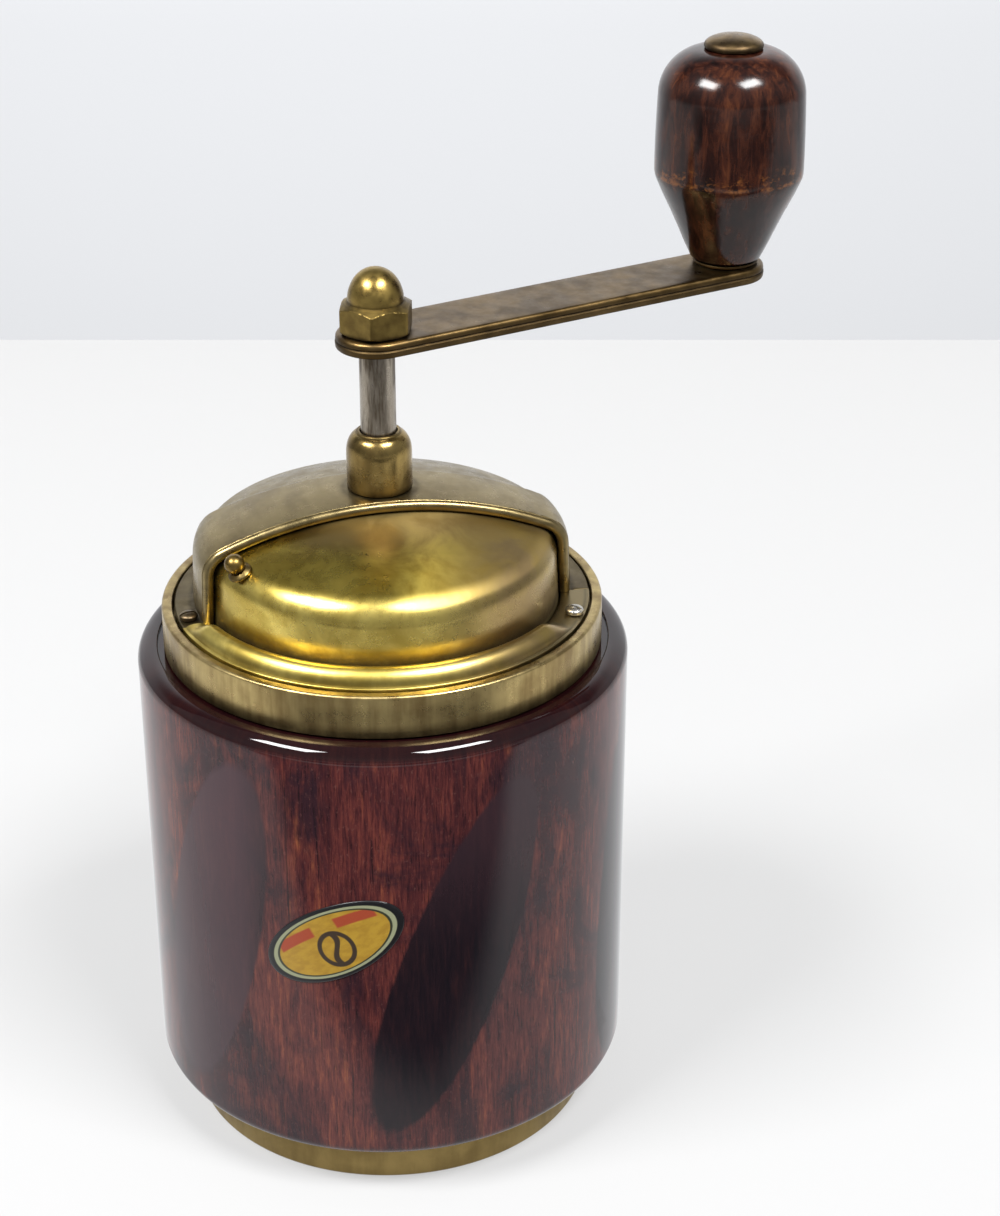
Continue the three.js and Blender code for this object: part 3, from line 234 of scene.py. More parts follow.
class Nodes:
    """Short ways to add and join the nodes of one material.

    A pattern's stretch is in waves for each millimetre: 0.1 makes clouds about 10 mm wide. Colours are
    linear light from 0 to 1.
    """

    def __init__(self, name):
        self.material = bpy.data.materials.new(name)
        self.material.use_nodes = True
        self.tree = self.material.node_tree
        self.tree.nodes.clear()
        self.shader = self.tree.nodes.new("ShaderNodeBsdfPrincipled")
        output = self.tree.nodes.new("ShaderNodeOutputMaterial")
        self.tree.links.new(self.shader.outputs[0], output.inputs[0])

    def put(self, socket, value):
        """Joins a socket to another one, or gives it a value. Three numbers are a colour or a vector."""
        if isinstance(value, bpy.types.NodeSocket):
            self.tree.links.new(value, socket)
        elif value is not None:
            colour = socket.type == "RGBA" and len(value) == 3
            socket.default_value = (*value, 1) if colour else value

    def add(self, kind, *values, **settings):
        """A node with its first sockets and its settings filled in."""
        node = self.tree.nodes.new(kind)
        for key, value in settings.items():
            setattr(node, key, value)
        for socket, value in zip(node.inputs, values):
            self.put(socket, value)
        return node

    def math(self, operation, *values):
        """What one Math node makes of its values."""
        return self.add("ShaderNodeMath", *values, operation=operation).outputs[0]

    def plus(self, a, b):
        """a + b."""
        return self.math("ADD", a, b)

    def minus(self, a, b):
        """a - b."""
        return self.math("SUBTRACT", a, b)

    def times(self, a, b):
        """a b."""
        return self.math("MULTIPLY", a, b)

    def size(self, a):
        """a without its sign."""
        return self.math("ABSOLUTE", a)

    def larger(self, a, b):
        """The larger of a and b."""
        return self.math("MAXIMUM", a, b)

    def blend(self, a, b, share):
        """a (1 - share) + b share."""
        return self.plus(self.times(a, 1 - share), self.times(b, share))

    def square_sum(self, a, b):
        """a^2 + b^2."""
        return self.plus(self.times(a, a), self.times(b, b))

    def reach(self, a, b):
        """Square root of a^2 + b^2."""
        return self.math("SQRT", self.square_sum(a, b))

    def place(self, stretch=(1, 1, 1), turn=(0, 0, 0), shift=(0, 0, 0), source=None):
        """Object coordinates in millimetres, or another vector, stretched. One number stretches all ways."""
        start = source or self.add("ShaderNodeTexCoord").outputs["Object"]
        scale = 1 if source else 1 / MM
        node = self.add("ShaderNodeMapping", start)
        node.inputs["Scale"].default_value = scale * np.broadcast_to(stretch, 3)
        node.inputs["Rotation"].default_value = np.radians(turn)
        node.inputs["Location"].default_value = shift
        return node.outputs[0]

    def parts(self, vector=None):
        """x, y and z of a vector, or else of the point in millimetres."""
        return self.add("ShaderNodeSeparateXYZ", vector or self.place()).outputs

    def noise(self, stretch, detail=4.0, rough=0.55, distortion=0.0, **placing):
        """Clouds from nought to one, most of them between 0.3 and 0.7."""
        node = self.add("ShaderNodeTexNoise")
        self.put(node.inputs["Vector"], self.place(stretch, **placing))
        settings = {"Scale": 1.0, "Detail": detail, "Roughness": rough, "Distortion": distortion}
        for key, value in settings.items():
            node.inputs[key].default_value = value
        return node.outputs[0]

    def ramp(self, factor, *stops):
        """Colours that run into each other along a factor, given as (factor, colour)."""
        node = self.add("ShaderNodeValToRGB", factor)
        elements = node.color_ramp.elements
        while len(elements) < len(stops):
            elements.new(0.5)
        for element, (place, colour) in zip(elements, stops):
            element.position = place
            element.color = (*colour, 1)
        return node.outputs[0]

    def mix(self, factor, a, b):
        """Colour a where the factor is nought, and b where it is one."""
        node = self.tree.nodes.new("ShaderNodeMix")
        node.data_type = "RGBA"
        factor_socket, a_socket, b_socket = (node.inputs[i] for i in (0, 6, 7))
        self.put(factor_socket, factor)
        self.put(a_socket, a)
        self.put(b_socket, b)
        return node.outputs[2]

    def span(self, value, low_in, high_in, low_out=0.0, high_out=1.0):
        """Smooth step from one output to the other while the value goes from low_in to high_in."""
        node = self.add("ShaderNodeMapRange", value, low_in, high_in, low_out, high_out)
        node.interpolation_type = "SMOOTHSTEP"
        return node.outputs[0]

    def bump(self, height, distance, strength):
        """Normals of a surface raised by a height from nought to one, times a distance in millimetres."""
        node = self.add("ShaderNodeBump")
        node.inputs["Strength"].default_value = strength
        node.inputs["Distance"].default_value = distance * MM
        self.put(node.inputs["Height"], height)
        return node.outputs[0]

    def set(self, **sockets):
        """Sets or joins the shader's sockets; an underscore stands for a space."""
        for key, value in sockets.items():
            self.put(self.shader.inputs[key.replace("_", " ")], value)
        return self.material


# Colour of dark specks and patina, and of painted shade in creases, grooves, joints and undersides
SHADE_AND_PATINA_COLOUR = (0.02, 0.014, 0.008)


def patina_and_shade_cover(n):
    """How far patina and painted shade cover a point: the piece's own mark, thinned by clouds to 0.65 of it
    at least.
    """
    mark = n.add("ShaderNodeAttribute", attribute_name="patina_and_shade").outputs["Fac"]
    return n.times(mark, n.span(n.noise(0.5), 0.2, 0.6, 0.65, 1.0))


def rubbed_gloss(n, least, most):
    """Roughness that wanders between two values, as on metal that hands have rubbed."""
    return n.span(n.noise(0.3, detail=5, rough=0.7), 0.3, 0.7, least, most)


def fine_marks(n):
    """Normals of rubbing marks 0.012 mm deep."""
    return n.bump(n.noise(5, detail=3), 0.012, 0.5)


def aged_brass(name, light, dark, rough, streak, streak_share):
    """Antiqued brass: two tones in clouds and streaks, specks, rubbing marks, and patina and painted shade
    where it is marked.

    The tone is clouds (1 - share) + streaks share.
    """
    n = Nodes(name)
    clouds = n.noise(0.09, detail=5, rough=0.6, distortion=0.4)
    streaks = n.noise(streak, detail=3, rough=0.6)
    specks = n.noise(2.2, detail=2, rough=0.7)
    shade_and_patina = patina_and_shade_cover(n)
    colour = n.mix(n.span(n.blend(clouds, streaks, streak_share), 0.36, 0.64), dark, light)
    colour = n.mix(n.span(specks, 0.64, 0.82, 0.0, 0.25), colour, SHADE_AND_PATINA_COLOUR)
    colour = n.mix(shade_and_patina, colour, SHADE_AND_PATINA_COLOUR)
    gloss = n.plus(rubbed_gloss(n, rough - 0.06, rough + 0.09), n.times(shade_and_patina, 0.25))
    return n.set(Base_Color=colour, Metallic=1.0, Roughness=gloss, Normal=fine_marks(n))


def steel(name, light, dark, rough, stretch):
    """Bare or plated steel with long stains, rougher where they are, and fine pits."""
    n = Nodes(name)
    stains = n.noise(stretch, detail=5, rough=0.65)
    colour = n.mix(n.span(stains, 0.38, 0.62), dark, light)
    gloss = n.span(stains, 0.35, 0.65, rough + 0.14, rough - 0.04)
    pits = n.bump(n.noise(1.6), 0.02, 0.5)
    return n.set(Base_Color=colour, Metallic=1.0, Roughness=gloss, Normal=pits)


def quiet(name, light, dark, rough, metallic, stretch, depth):
    """A dull two-tone finish with a fine rough surface, for felt and castings."""
    n = Nodes(name)
    clouds = n.noise(stretch, detail=5, rough=0.65)
    colour = n.mix(n.span(clouds, 0.35, 0.65), dark, light)
    grit = n.bump(n.noise(6 * stretch, detail=3), depth, 0.8)
    return n.set(Base_Color=colour, Metallic=metallic, Roughness=rough, Normal=grit)


def under_lacquer(n, colour, fibre, waves, rough, coat_rough, coat_ior):
    """Wood under clear lacquer: the gloss is the coat's alone, and its waves are the coat's own."""
    n.set(Coat_Weight=1.0, Coat_Roughness=coat_rough, Coat_IOR=coat_ior, Coat_Normal=waves)
    return n.set(Base_Color=colour, Roughness=rough, Specular_IOR_Level=0.0, Normal=n.bump(fibre, 0.05, 0.4))


# The darker ovals let into the wood: arc length from the front, height, half length, half width, lean in
# degrees, and how far their own colour covers the grain
OVALS = (
    (-36.6, 53.7, 38.0, 11.2, 13.5, 0.90),
    (12.2, 52.2, 38.5, 10.3, 20.3, 0.94),
    (58.2, 50.0, 38.5, 10.4, 7.0, 0.90),
    (106.4, 52.0, 38.5, 10.4, 13.0, 0.85),
    (-132.6, 53.0, 38.5, 10.3, 15.0, 0.90),
    (-84.4, 52.0, 38.0, 10.4, 11.0, 0.85),
)


def ovals_mask(n, flat):
    """Nought outside the ovals and their cover inside: (along / half length)^2 + (across / half width)^2 < 1.

    The sum is made ragged by fine upright clouds, and the edge is a smooth step from 1.07 to 0.93.
    """
    x, y, _ = n.parts(flat)
    ragged = n.times(n.minus(n.noise((0.5, 0.12, 1), source=flat), 0.5), 0.1)
    mask = None
    for arc, height, half_length, half_width, lean, cover in OVALS:
        u = n.minus(x, arc)
        v = n.minus(y, height)
        cos, sin = math.cos(math.radians(lean)), math.sin(math.radians(lean))
        along = n.plus(n.times(v, cos / half_length), n.times(u, sin / half_length))
        across = n.minus(n.times(u, cos / half_width), n.times(v, sin / half_width))
        inside = n.span(n.plus(n.square_sum(along, across), ragged), 1.07, 0.93, 0.0, cover)
        mask = inside if mask is None else n.larger(mask, inside)
    return mask


def lacquered_wood():
    """Red-brown veneer with dark clouds, stripes and upright grain, and six leaning ovals, under lacquer.

    Patterns lie on the unrolled wall: arc length and height in millimetres. Each layer mixes a colour over
    the last one where its own noise is high.
    """
    n = Nodes("lacquered wood")
    flat = n.place((100, 100, 1), source=n.add("ShaderNodeUVMap", uv_map="print").outputs[0])

    def grain_noise(across, upright, **settings):
        """Clouds on the unrolled wall, stretched round it and up it."""
        return n.noise((across, upright, 1), source=flat, **settings)

    fibre = grain_noise(1.2, 0.12, detail=7, rough=0.75, distortion=0.3)
    bands = grain_noise(0.1, 0.016, rough=0.6, distortion=1.0)
    grain = n.blend(fibre, bands, 0.44)
    red = n.ramp(
        grain,
        (0.39, (0.024, 0.0064, 0.0084)),
        (0.47, (0.048, 0.0116, 0.012)),
        (0.53, (0.08, 0.019, 0.0165)),
        (0.59, (0.125, 0.032, 0.0205)),
        (0.68, (0.215, 0.074, 0.029)),
    )
    clouds = grain_noise(0.05, 0.036, detail=5, rough=0.65, distortion=0.8)
    red = n.mix(n.span(clouds, 0.46, 0.64, 0.0, 0.82), red, (0.012, 0.0062, 0.0105))
    pores = grain_noise(3.0, 0.22, detail=3, rough=0.7)
    red = n.mix(n.span(pores, 0.50, 0.70, 0.0, 0.65), red, (0.006, 0.002, 0.0028))
    stripes = grain_noise(0.12, 0.012, shift=(7, 3, 0), detail=5, rough=0.6, distortion=0.5)
    red = n.mix(n.span(stripes, 0.54, 0.68, 0.0, 0.75), red, (0.01, 0.005, 0.0085))
    cracks = grain_noise(0.8, 0.022, detail=3, rough=0.6, distortion=0.4)
    red = n.mix(n.span(cracks, 0.62, 0.72, 0.0, 0.80), red, (0.007, 0.003, 0.0045))
    flecks = grain_noise(1.5, 0.7, detail=3, rough=0.75)
    red = n.mix(n.span(flecks, 0.56, 0.74, 0.0, 0.35), red, (0.15, 0.062, 0.05))

    dark = n.ramp(
        grain,
        (0.38, (0.003, 0.0024, 0.0046)),
        (0.52, (0.0066, 0.0038, 0.0062)),
        (0.66, (0.017, 0.0064, 0.008)),
    )
    height = n.parts()[2]
    # Ovals lighter towards their tops, and the ovals on the left lighter still: painted sheen
    dark = n.mix(n.span(height, 52, 84, 0.0, 0.65), dark, (0.033, 0.0165, 0.021))
    left_oval_sheen = n.span(n.parts(flat)[0], -22, -30, 0.0, 0.55)
    dark = n.mix(left_oval_sheen, dark, (0.062, 0.029, 0.037))

    colour = n.mix(ovals_mask(n, flat), red, dark)
    top = high("wood_body")[2]
    shadow_line = n.span(height, top - 3.6, top - 1.4, 0.0, 0.92)
    colour = n.mix(shadow_line, colour, (0.006, 0.0012, 0.0016))
    waves = n.bump(grain_noise(0.05, 0.03, detail=2), 0.25, 0.35)
    return under_lacquer(n, colour, fibre, waves, rough=0.45, coat_rough=0.04, coat_ior=1.42)


KNOB_RIDGE = 17.0


def knob_wood():
    """The knob's darker wood: leaning grain, worn to orange in patches near its ridge, under lacquer."""
    n = Nodes("knob wood")
    fibre = n.noise((0.55, 0.55, 0.1), turn=(0, 24, 0), detail=6, rough=0.7, distortion=0.6)
    clouds = n.noise((0.1, 0.1, 0.06), rough=0.6)
    colour = n.ramp(
        n.blend(fibre, clouds, 0.38),
        (0.38, (0.0034, 0.001, 0.0008)),
        (0.47, (0.011, 0.0028, 0.0019)),
        (0.55, (0.03, 0.008, 0.0038)),
        (0.66, (0.072, 0.022, 0.008)),
    )
    above_ridge = n.minus(n.parts()[2], low("crank_knob")[2] + KNOB_RIDGE)
    patch = n.noise((0.32, 0.32, 0.45), detail=6, rough=0.75)
    near = n.span(n.size(n.minus(above_ridge, 0.9)), 3.4, 0.1)
    worn = n.times(near, n.span(patch, 0.50, 0.66, 0.0, 0.85))
    edge = n.span(n.size(n.plus(above_ridge, 0.2)), 0.7, 0.1)
    worn = n.larger(worn, n.times(edge, n.span(patch, 0.44, 0.58, 0.0, 0.8)))
    colour = n.mix(worn, colour, (0.15, 0.052, 0.012))
    waves = n.bump(n.noise(0.12, detail=3), 0.3, 0.4)
    return under_lacquer(n, colour, fibre, waves, rough=0.4, coat_rough=0.17, coat_ior=1.4)


def printed_oval():
    """The oval's plain print: dark edge, pale ring, thin line, and on the yellow a bean and two short bars.

    x and y run from -1 to 1 over the oval, and reach is sqrt(x^2 + y^2). The bars lie along
    y = 0.5 - 0.28 x^2. The bean is an ellipse's outline with an S-shaped fold: x = 0.28 sin(3 y) in the
    bean's own measure.
    """
    n = Nodes("printed oval")
    uv = n.add("ShaderNodeUVMap", uv_map="print").outputs[0]
    x, y, _ = n.parts(uv)
    from_middle = n.size(x)
    mottle = n.span(n.noise(5, source=uv, detail=3), 0.35, 0.65)
    yellow = n.mix(mottle, (0.25, 0.138, 0.009), (0.31, 0.185, 0.014))

    arch = n.plus(y, n.times(n.times(x, x), 0.28))
    band = n.span(n.size(n.minus(arch, 0.50)), 0.17, 0.12)
    bars = n.times(n.span(from_middle, 0.15, 0.19), n.span(from_middle, 0.74, 0.70))
    colour = n.mix(n.times(band, bars), yellow, (0.24, 0.036, 0.011))

    bean_x = n.math("DIVIDE", x, 0.25)
    bean_y = n.math("DIVIDE", n.plus(y, 0.18), 0.54)
    bean = n.reach(bean_x, bean_y)
    crease = n.minus(bean_x, n.times(n.math("SINE", n.times(bean_y, 3.0)), 0.28))
    outline = n.span(n.size(n.minus(bean, 0.88)), 0.15, 0.09)
    fold = n.times(n.span(n.size(crease), 0.20, 0.13), n.span(bean, 0.95, 0.88))
    colour = n.mix(n.larger(outline, fold), colour, (0.03, 0.018, 0.01))

    reach = n.reach(x, y)
    thin_line, pale_ring, dark_edge = (0.02, 0.024, 0.012), (0.21, 0.22, 0.13), (0.004, 0.004, 0.005)
    for start, end, ring in ((0.795, 0.810, thin_line), (0.830, 0.845, pale_ring), (0.893, 0.908, dark_edge)):
        colour = n.mix(n.span(reach, start, end), colour, ring)
    return n.set(Base_Color=colour, Roughness=0.32, Metallic=0.0)


def door_brass_finish():
    """The door's brass: greyish tan round the bush, turning to olive gold at the shoulder and on the wall.

    The border between the two wanders with clouds by 8 mm either way. The sill shares the finish, so that
    the parts for it begin at its own radius. Gloss is a sum of what each stain and place adds.
    """
    n = Nodes("door brass")
    x, y, z = n.parts()
    radius = n.reach(x, y)
    clouds = n.noise(0.1, detail=5, rough=0.6, distortion=0.5)
    tone = n.span(clouds, 0.36, 0.64)
    tan = n.mix(n.span(clouds, 0.38, 0.62), (0.25, 0.172, 0.056), (0.34, 0.25, 0.092))
    gold = n.mix(tone, (0.34, 0.238, 0.036), (0.52, 0.395, 0.078))
    wandering = n.plus(radius, n.times(n.minus(clouds, 0.5), 16))
    colour = n.mix(n.span(wandering, 13, 25), tan, gold)
    # Darker brown on the door's right side: tarnish and painted shade
    right_tarnish_and_shade = n.times(n.span(x, 5, 23), n.span(clouds, 0.30, 0.60, 0.50, 0.92))
    colour = n.mix(right_tarnish_and_shade, colour, (0.185, 0.128, 0.06))
    # The door's wall and the sill get a brighter gold than the crown: painted light; on the right the darker
    # brown covers it too
    rim = n.mix(tone, (0.5, 0.37, 0.08), (0.78, 0.62, 0.17))
    colour = n.mix(n.span(radius, 28.5, 31.5), colour, n.mix(right_tarnish_and_shade, rim, (0.32, 0.22, 0.11)))

    # Dark, rougher patches at the foot of the door's wall, next to the sill: grime and painted shade
    patches = n.span(n.noise((0.22, 0.22, 0.35), rough=0.65), 0.34, 0.60, 0.70, 1.0)
    foot_grime_and_shade = n.times(n.span(z, HEAD_FOOT + 6.5, HEAD_FOOT + 1.5), patches)
    foot_grime_and_shade = n.times(foot_grime_and_shade, n.span(radius, 33.2, 32.9))
    colour = n.mix(foot_grime_and_shade, colour, (0.095, 0.068, 0.032))
    flat_end = n.times(n.span(x, 20, 26), n.span(z, HEAD_FOOT + 1.7, HEAD_FOOT + 0.9))
    colour = n.mix(flat_end, colour, (0.235, 0.182, 0.084))
    specks = n.noise(2.2, detail=2, rough=0.7)
    colour = n.mix(n.span(specks, 0.66, 0.84, 0.0, 0.15), colour, (0.05, 0.034, 0.012))
    # Patina and painted shade where the door and the sill are marked
    colour = n.mix(patina_and_shade_cover(n), colour, (0.035, 0.024, 0.009))

    gloss = n.plus(rubbed_gloss(n, 0.25, 0.31), n.times(foot_grime_and_shade, 0.34))
    gloss = n.plus(gloss, n.span(radius, 20, 9, 0.0, 0.34))
    gloss = n.plus(gloss, n.span(radius, 33.0, 33.5, 0.0, 0.07))
    gloss = n.plus(gloss, n.times(n.span(x, 0, 9), n.span(radius, 31.8, 31.0, 0.0, 0.24)))
    return n.set(Base_Color=colour, Metallic=1.0, Roughness=gloss, Normal=fine_marks(n))


# Streaks that lie level change quickly with height alone, and upright ones hardly at all with it
ACROSS = (0.05, 0.05, 0.7)
UPRIGHT = (0.4, 0.4, 0.05)

# Light tone, dark tone, roughness, stretch of the streaks and their share of the tone
dome_brass = aged_brass("dome brass", (0.29, 0.225, 0.105), (0.185, 0.138, 0.062), 0.30, ACROSS, 0.4)
band_brass = aged_brass("band brass", (0.52, 0.4, 0.175), (0.28, 0.195, 0.08), 0.30, UPRIGHT, 0.5)
foot_brass = aged_brass("foot brass", (0.3, 0.215, 0.08), (0.215, 0.15, 0.055), 0.36, UPRIGHT, 0.35)
tower_brass = aged_brass(
    "tower brass", (0.38, 0.27, 0.095), (0.19, 0.128, 0.045), 0.24, (0.35, 0.35, 0.06), 0.4,
)
arm_brass = aged_brass("arm brass", (0.182, 0.118, 0.047), (0.092, 0.057, 0.021), 0.33, 0.25, 0.5)
nut_brass = aged_brass("nut brass", (0.38, 0.268, 0.078), (0.17, 0.112, 0.034), 0.29, 0.3, 0.4)
cap_bronze = aged_brass("cap bronze", (0.27, 0.18, 0.075), (0.12, 0.078, 0.04), 0.30, 0.4, 0.4)
screw_brown = aged_brass("brown screw", (0.3, 0.23, 0.12), (0.12, 0.085, 0.05), 0.35, 1, 0.5)

# Light tone, dark tone, roughness and stretch of the stains
screw_silver = steel("silver screw", (0.75, 0.73, 0.68), (0.45, 0.43, 0.38), 0.25, 1)
shaft_steel = steel("shaft steel", (0.34, 0.3, 0.245), (0.12, 0.096, 0.07), 0.30, (0.6, 0.6, 0.08))
burr_steel = steel("burr steel", (0.45, 0.45, 0.46), (0.26, 0.26, 0.27), 0.35, 0.5)

# Light tone, dark tone, roughness, share of metal, stretch of the clouds and depth of the grit
iron = quiet("cast iron", (0.055, 0.055, 0.058), (0.028, 0.028, 0.03), 0.62, 0.6, 0.5, 0.12)
felt = quiet("green felt", (0.035, 0.06, 0.032), (0.018, 0.032, 0.018), 0.95, 0.0, 2.0, 0.25)

door_brass = door_brass_finish()
body_wood = lacquered_wood()
handle_wood = knob_wood()
label_print = printed_oval()


# The dome, shared by the cover and the door

def dome_outline(offset, inner=0.0, soften=0.0, crown_steps=44, shoulder_steps=24, wall_steps=12):
    """Crown, shoulder and wall from a radius near the axis down to the base, moved out by an offset.

    The crown is an arc about a point on the axis, the shoulder a smaller arc, or a softer one, that it runs
    into, and the wall goes straight down and a little outwards.
    """
    crown_centre = DOME_TOP - CROWN_RADIUS
    bend_radius = SHOULDER_RADIUS + soften
    shoulder_r = DOME_RADIUS - bend_radius
    rise = math.sqrt((CROWN_RADIUS - bend_radius) ** 2 - shoulder_r ** 2)
    turn = math.atan2(shoulder_r, rise)
    crown = CROWN_RADIUS + offset
    shoulder = bend_radius + offset
    a = np.linspace(math.asin(inner / crown), turn, crown_steps + 1)
    top = np.stack([crown * np.sin(a), crown_centre + crown * np.cos(a)], axis=-1)
    a = np.linspace(turn, math.pi / 2, shoulder_steps + 1)[1:]
    bend = np.stack([shoulder_r + shoulder * np.sin(a), crown_centre + rise + shoulder * np.cos(a)], axis=-1)
    foot = np.array([DOME_RADIUS + offset + WALL_FLARE, HEAD_FOOT])
    t = np.linspace(0, 1, wall_steps + 1)[1:, None]
    wall = bend[-1] + (foot - bend[-1]) * t
    return np.concatenate([top, bend, wall])


def add_solidify(thing, thickness):
    """Gives an open sheet its thickness, on the inner side."""
    sheet = thing.modifiers.new("sheet", "SOLIDIFY")
    sheet.thickness = thickness * MM
    sheet.offset = -1
    sheet.use_even_offset = True


def outward(thing, outside):
    """Turns an open sheet's faces so that the one nearest to a point outside looks at it."""
    mesh = thing.data
    centres = np.empty(len(mesh.polygons) * 3)
    normals = np.empty(len(mesh.polygons) * 3)
    mesh.polygons.foreach_get("center", centres)
    mesh.polygons.foreach_get("normal", normals)
    to = np.array(outside) * MM - centres.reshape(-1, 3)
    nearest = np.argmin((to ** 2).sum(axis=1))
    if to[nearest] @ normals.reshape(-1, 3)[nearest] < 0:
        mesh.flip_normals()


ABOVE_MILL = 300

COVER_BORE = 4.9
COVER_COLUMNS = 320
FLANGE_FILLET = 1.1
FLANGE_EDGE_RUN = 0.25
FLANGE_EDGE_DROP = 0.2
# How dark the cover is marked: painted shade with patina in the crease above the flange and round the tower's
# foot, and darker tarnish on the flange
CREASE_PATINA_AND_SHADE = 0.75
FLANGE_STAIN = 0.48
BORE_PATINA_AND_SHADE = 0.5


def cover_outline():
    """The outline in three parts: the dome, the quarter round at its foot, and the flange's top and edge."""
    dome = dome_outline(0, inner=COVER_BORE)
    flange_top = HEAD_FOOT + SHEET
    centre_z = flange_top + FLANGE_FILLET
    wall_r = np.interp(centre_z, dome[::-1, 1], dome[::-1, 0])
    shell = dome[dome[:, 1] > centre_z]
    fillet = ellipse_arc(wall_r + FLANGE_FILLET, centre_z, FLANGE_FILLET, FLANGE_FILLET, 180, 270, 8)
    edge = np.array([PLATE_RADIUS - FLANGE_EDGE_RUN, flange_top])
    run = fillet[-1] + (edge - fillet[-1]) * np.linspace(0, 1, 6)[1:, None]
    return shell, fillet, np.concatenate([run, [[PLATE_RADIUS, flange_top - FLANGE_EDGE_DROP]]])


def make_dome_cover():
    """The cover: the outline revolved, raised in front of a step, and cut along the arch's plane.

    A point at radius r and angle b from the band's direction lies r cos b in front of the axis. The raise
    grows with that distance in a smooth step, and dies away down the fillet between wall and flange.
    """
    shell, fillet, flange = cover_outline()
    outline = np.concatenate([shell, fillet, flange])
    fillet_starts = len(shell)
    flange_starts = fillet_starts + len(fillet)
    tangent = np.gradient(outline, axis=0)
    normal = np.abs(tangent[:, ::-1]) / np.hypot(*tangent.T)[:, None]
    weight = np.ones((len(outline), 1))
    weight[fillet_starts:flange_starts, 0] = 1 - ease(np.linspace(0, 1, len(fillet)))
    weight[flange_starts:] = 0

    b = np.linspace(-np.pi, np.pi, COVER_COLUMNS, endpoint=False)
    ahead = outline[:, :1] * np.cos(b)
    raise_by = BAND_RAISE * ease((ahead - BAND_BACK) / BAND_STEP + 0.5) * weight
    r = outline[:, :1] + raise_by * normal[:, :1]
    z = outline[:, 1:] + raise_by * normal[:, 1:]
    # Darker in the crease above the flange and round the tower's foot: painted shade, with patina; the flange
    # is darker all over
    marks = np.zeros_like(r)
    marks[fillet_starts - 3:fillet_starts] = np.array([[0.15], [0.3], [0.5]])
    marks[fillet_starts:flange_starts + 1] = CREASE_PATINA_AND_SHADE
    marks[flange_starts + 1:] = FLANGE_STAIN
    marks += BORE_PATINA_AND_SHADE * bell(r, 6.6, 0.8) * (r < 9)
    points = np.stack([*turned(r * np.cos(b), r * np.sin(b), BAND_TURN), z], axis=-1)
    thing = piece(
        "cover", points, grid_faces(*r.shape), "head", dome_brass, "aged_brass", ("dome_cover",),
        sharp=38, marks=marks,
    )
    outward(thing, (0, 0, ABOVE_MILL))
    work = bmesh.new()
    work.from_mesh(thing.data)
    bmesh.ops.bisect_plane(
        work, geom=work.verts[:] + work.edges[:] + work.faces[:], clear_outer=True,
        dist=EMPTY_WITHIN * MM,
        plane_co=(*turned(ARCH_FRONT * MM, 0, ARCH_TURN), 0), plane_no=(*turned(1, 0, ARCH_TURN), 0),
    )
    work.to_mesh(thing.data)
    work.free()
    add_solidify(thing, SHEET)


BEAD_RADIUS = 1.0
BEAD_DROP = 1.05
BEAD_BACK = 0.15
BEAD_COLUMNS = 20


def arch_path(offset, ahead, steps=60):
    """Across and height of the outline where a plane in front of the axis cuts it, from left to right.

    Across is the square root of radius^2 - ahead^2.
    """
    outline = dome_outline(offset)
    crown = CROWN_RADIUS + offset
    centre = DOME_TOP - CROWN_RADIUS
    beyond = outline[outline[:, 0] > DOME_RADIUS - SHOULDER_RADIUS]
    side = np.stack([np.sqrt(beyond[:, 0] ** 2 - ahead ** 2), beyond[:, 1]], axis=-1)
    q = np.linspace(0, side[0, 0], steps, endpoint=False)
    top = np.stack([q, centre + np.sqrt(crown ** 2 - q ** 2 - ahead ** 2)], axis=-1)
    half = np.concatenate([top, side])
    return np.concatenate([half[:0:-1] * [-1, 1], half])


def make_arch_bead():
    """The rolled edge of the arch: a round section carried along the arch, square to it."""
    path = spaced(arch_path(BAND_RAISE - BEAD_DROP, ARCH_FRONT), 1.2)
    path = path[path[:, 1] > HEAD_FOOT + 0.1]
    along = np.gradient(path, axis=0)
    along /= np.hypot(*along.T)[:, None]
    phi = np.linspace(0, 2 * np.pi, BEAD_COLUMNS, endpoint=False)
    across = path[:, :1] - BEAD_RADIUS * np.cos(phi) * along[:, 1:]
    height = path[:, 1:] + BEAD_RADIUS * np.cos(phi) * along[:, :1]
    ahead = np.broadcast_to(ARCH_FRONT - BEAD_BACK + BEAD_RADIUS * np.sin(phi), across.shape)
    points = np.stack([*turned(ahead, across, ARCH_TURN), height], axis=-1)
    faces = grid_faces(*across.shape).tolist() + [first_ring(BEAD_COLUMNS), last_ring(*across.shape)]
    # Darker on the bead's inner and under side: painted shade, with patina
    piece("arch_bead", points, faces, "head", dome_brass, "aged_brass", sharp=35,
          marks=0.5 * bell(phi, np.pi, 0.9))


DOOR_DROP = 1.05
DOOR_SHEET = 0.7
DOOR_SPAN = 162.0
DOOR_HUB = 9.5
DOOR_BORE = 5.0
DOOR_SOFTER = 2.2
DOOR_COLUMNS = 160


